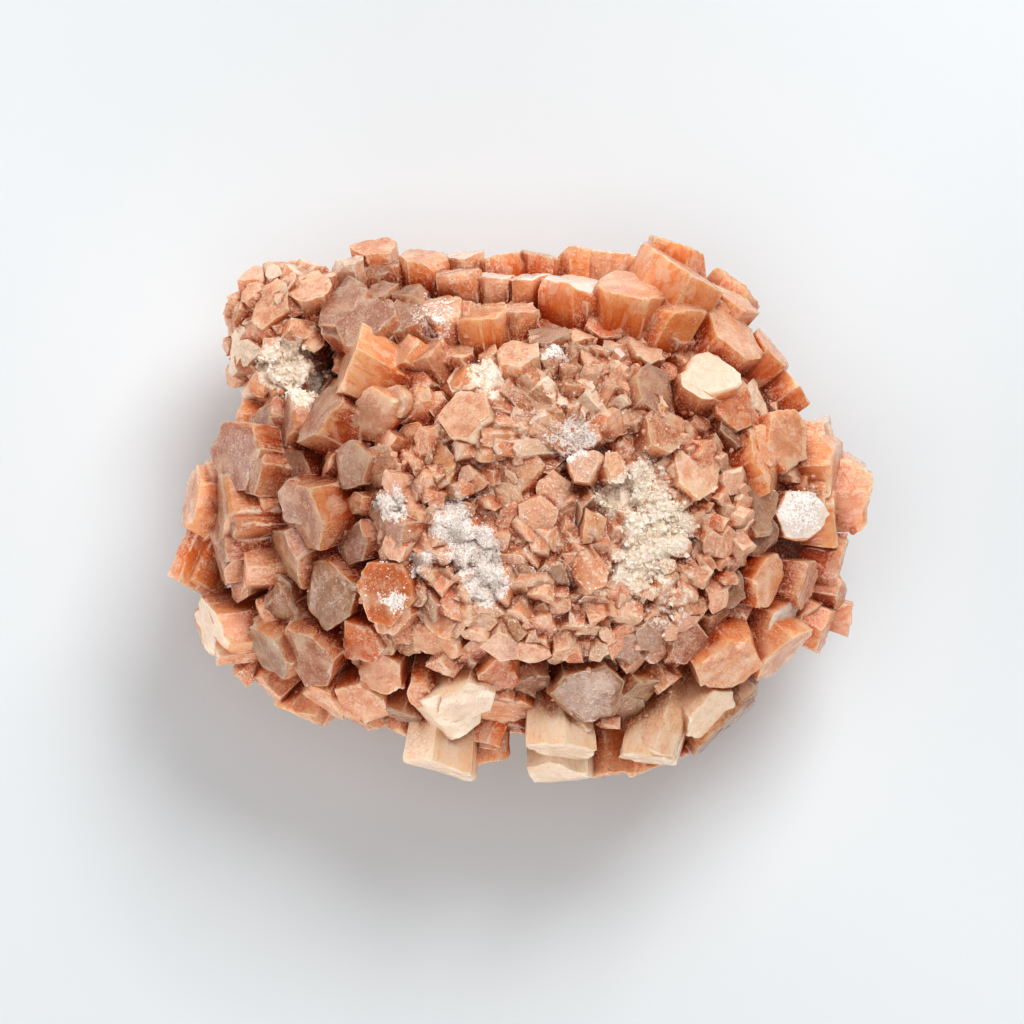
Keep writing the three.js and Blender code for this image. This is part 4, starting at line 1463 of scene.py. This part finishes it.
# The floor, the lamps round the cluster and the camera over it, in metres
stage = {
    "floorReach": 3.0,
    "floorTone": (0.8, 0.835, 0.855, 1),
    "floorRoughness": 0.9,
    "worldLight": 0.09,
    "eyeHeight": 0.9,
    "frameWidth": 0.1024,
    "aim": Vector((-0.0008, -0.0002, 0.019)),
    "film": 36,  # millimetres across
    "nearest": 0.01,
    "lamps": {  # place, size and power
        "keyLamp": ((0.24, 0.46, 0.62), (0.36, 0.36), 3.7),
        "topLamp": ((-0.1, 0.0, 1.2), (0.9, 0.9), 3.3),
        "nearLamp": ((0.1, -1.1, 0.2), (1.0, 0.34), 7.6),
        "farLamp": ((0.1, 1.15, 0.2), (1.0, 0.34), 4.6),
        "leftLamp": ((-1.18, -0.1, 0.2), (1.0, 0.34), 7.2),
    },
}


def makeFloor():
    mesh = bpy.data.meshes.new("floor")
    reach = stage["floorReach"]
    corners = [(-reach, -reach, 0), (reach, -reach, 0), (reach, reach, 0), (-reach, reach, 0)]
    mesh.from_pydata(corners, [], [(0, 1, 2, 3)])
    material, g = newMaterial("palePaper")
    g.dress(Base_Color=stage["floorTone"], Roughness=stage["floorRoughness"])
    mesh.materials.append(material)
    floor = newObject("floor", mesh)


def makeLight():
    world = bpy.data.worlds.new("studio")
    bpy.context.scene.world = world
    world.use_nodes = True
    world.node_tree.nodes["Background"].inputs["Color"].default_value = (1, 1, 1, 1)
    world.node_tree.nodes["Background"].inputs["Strength"].default_value = stage["worldLight"]
    for name, (spot, (width, height), power) in stage["lamps"].items():
        light = bpy.data.lights.new(name, "AREA")
        light.shape = "RECTANGLE"
        light.size = width
        light.size_y = height
        light.energy = power
        lamp = newObject(name, light)
        lamp.location = spot
        lamp.rotation_euler = (stage["aim"] - Vector(spot)).to_track_quat("-Z", "Y").to_euler()
        lamp.visible_camera = False


def makeCamera():
    camera = newObject("camera", bpy.data.cameras.new("camera"))
    camera.location = stage["aim"] + Vector((0, 0, stage["eyeHeight"]))
    camera.data.sensor_width = stage["film"]
    camera.data.lens = stage["film"] * stage["eyeHeight"] / stage["frameWidth"]
    camera.data.clip_start = stage["nearest"]
    bpy.context.scene.camera = camera


pieces = {}
growCrystals(pieces)
scatterGrains(pieces)
for piece in pieces.values():
    piece.data.transform(Matrix.Scale(millimetre, 4))
    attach(piece, "root")
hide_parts("aragonite_cluster")

makeFloor()
makeLight()
makeCamera()
bpy.context.scene.view_settings.view_transform = "Standard"
bpy.context.scene.view_settings.look = "Medium High Contrast"
print("stage set")
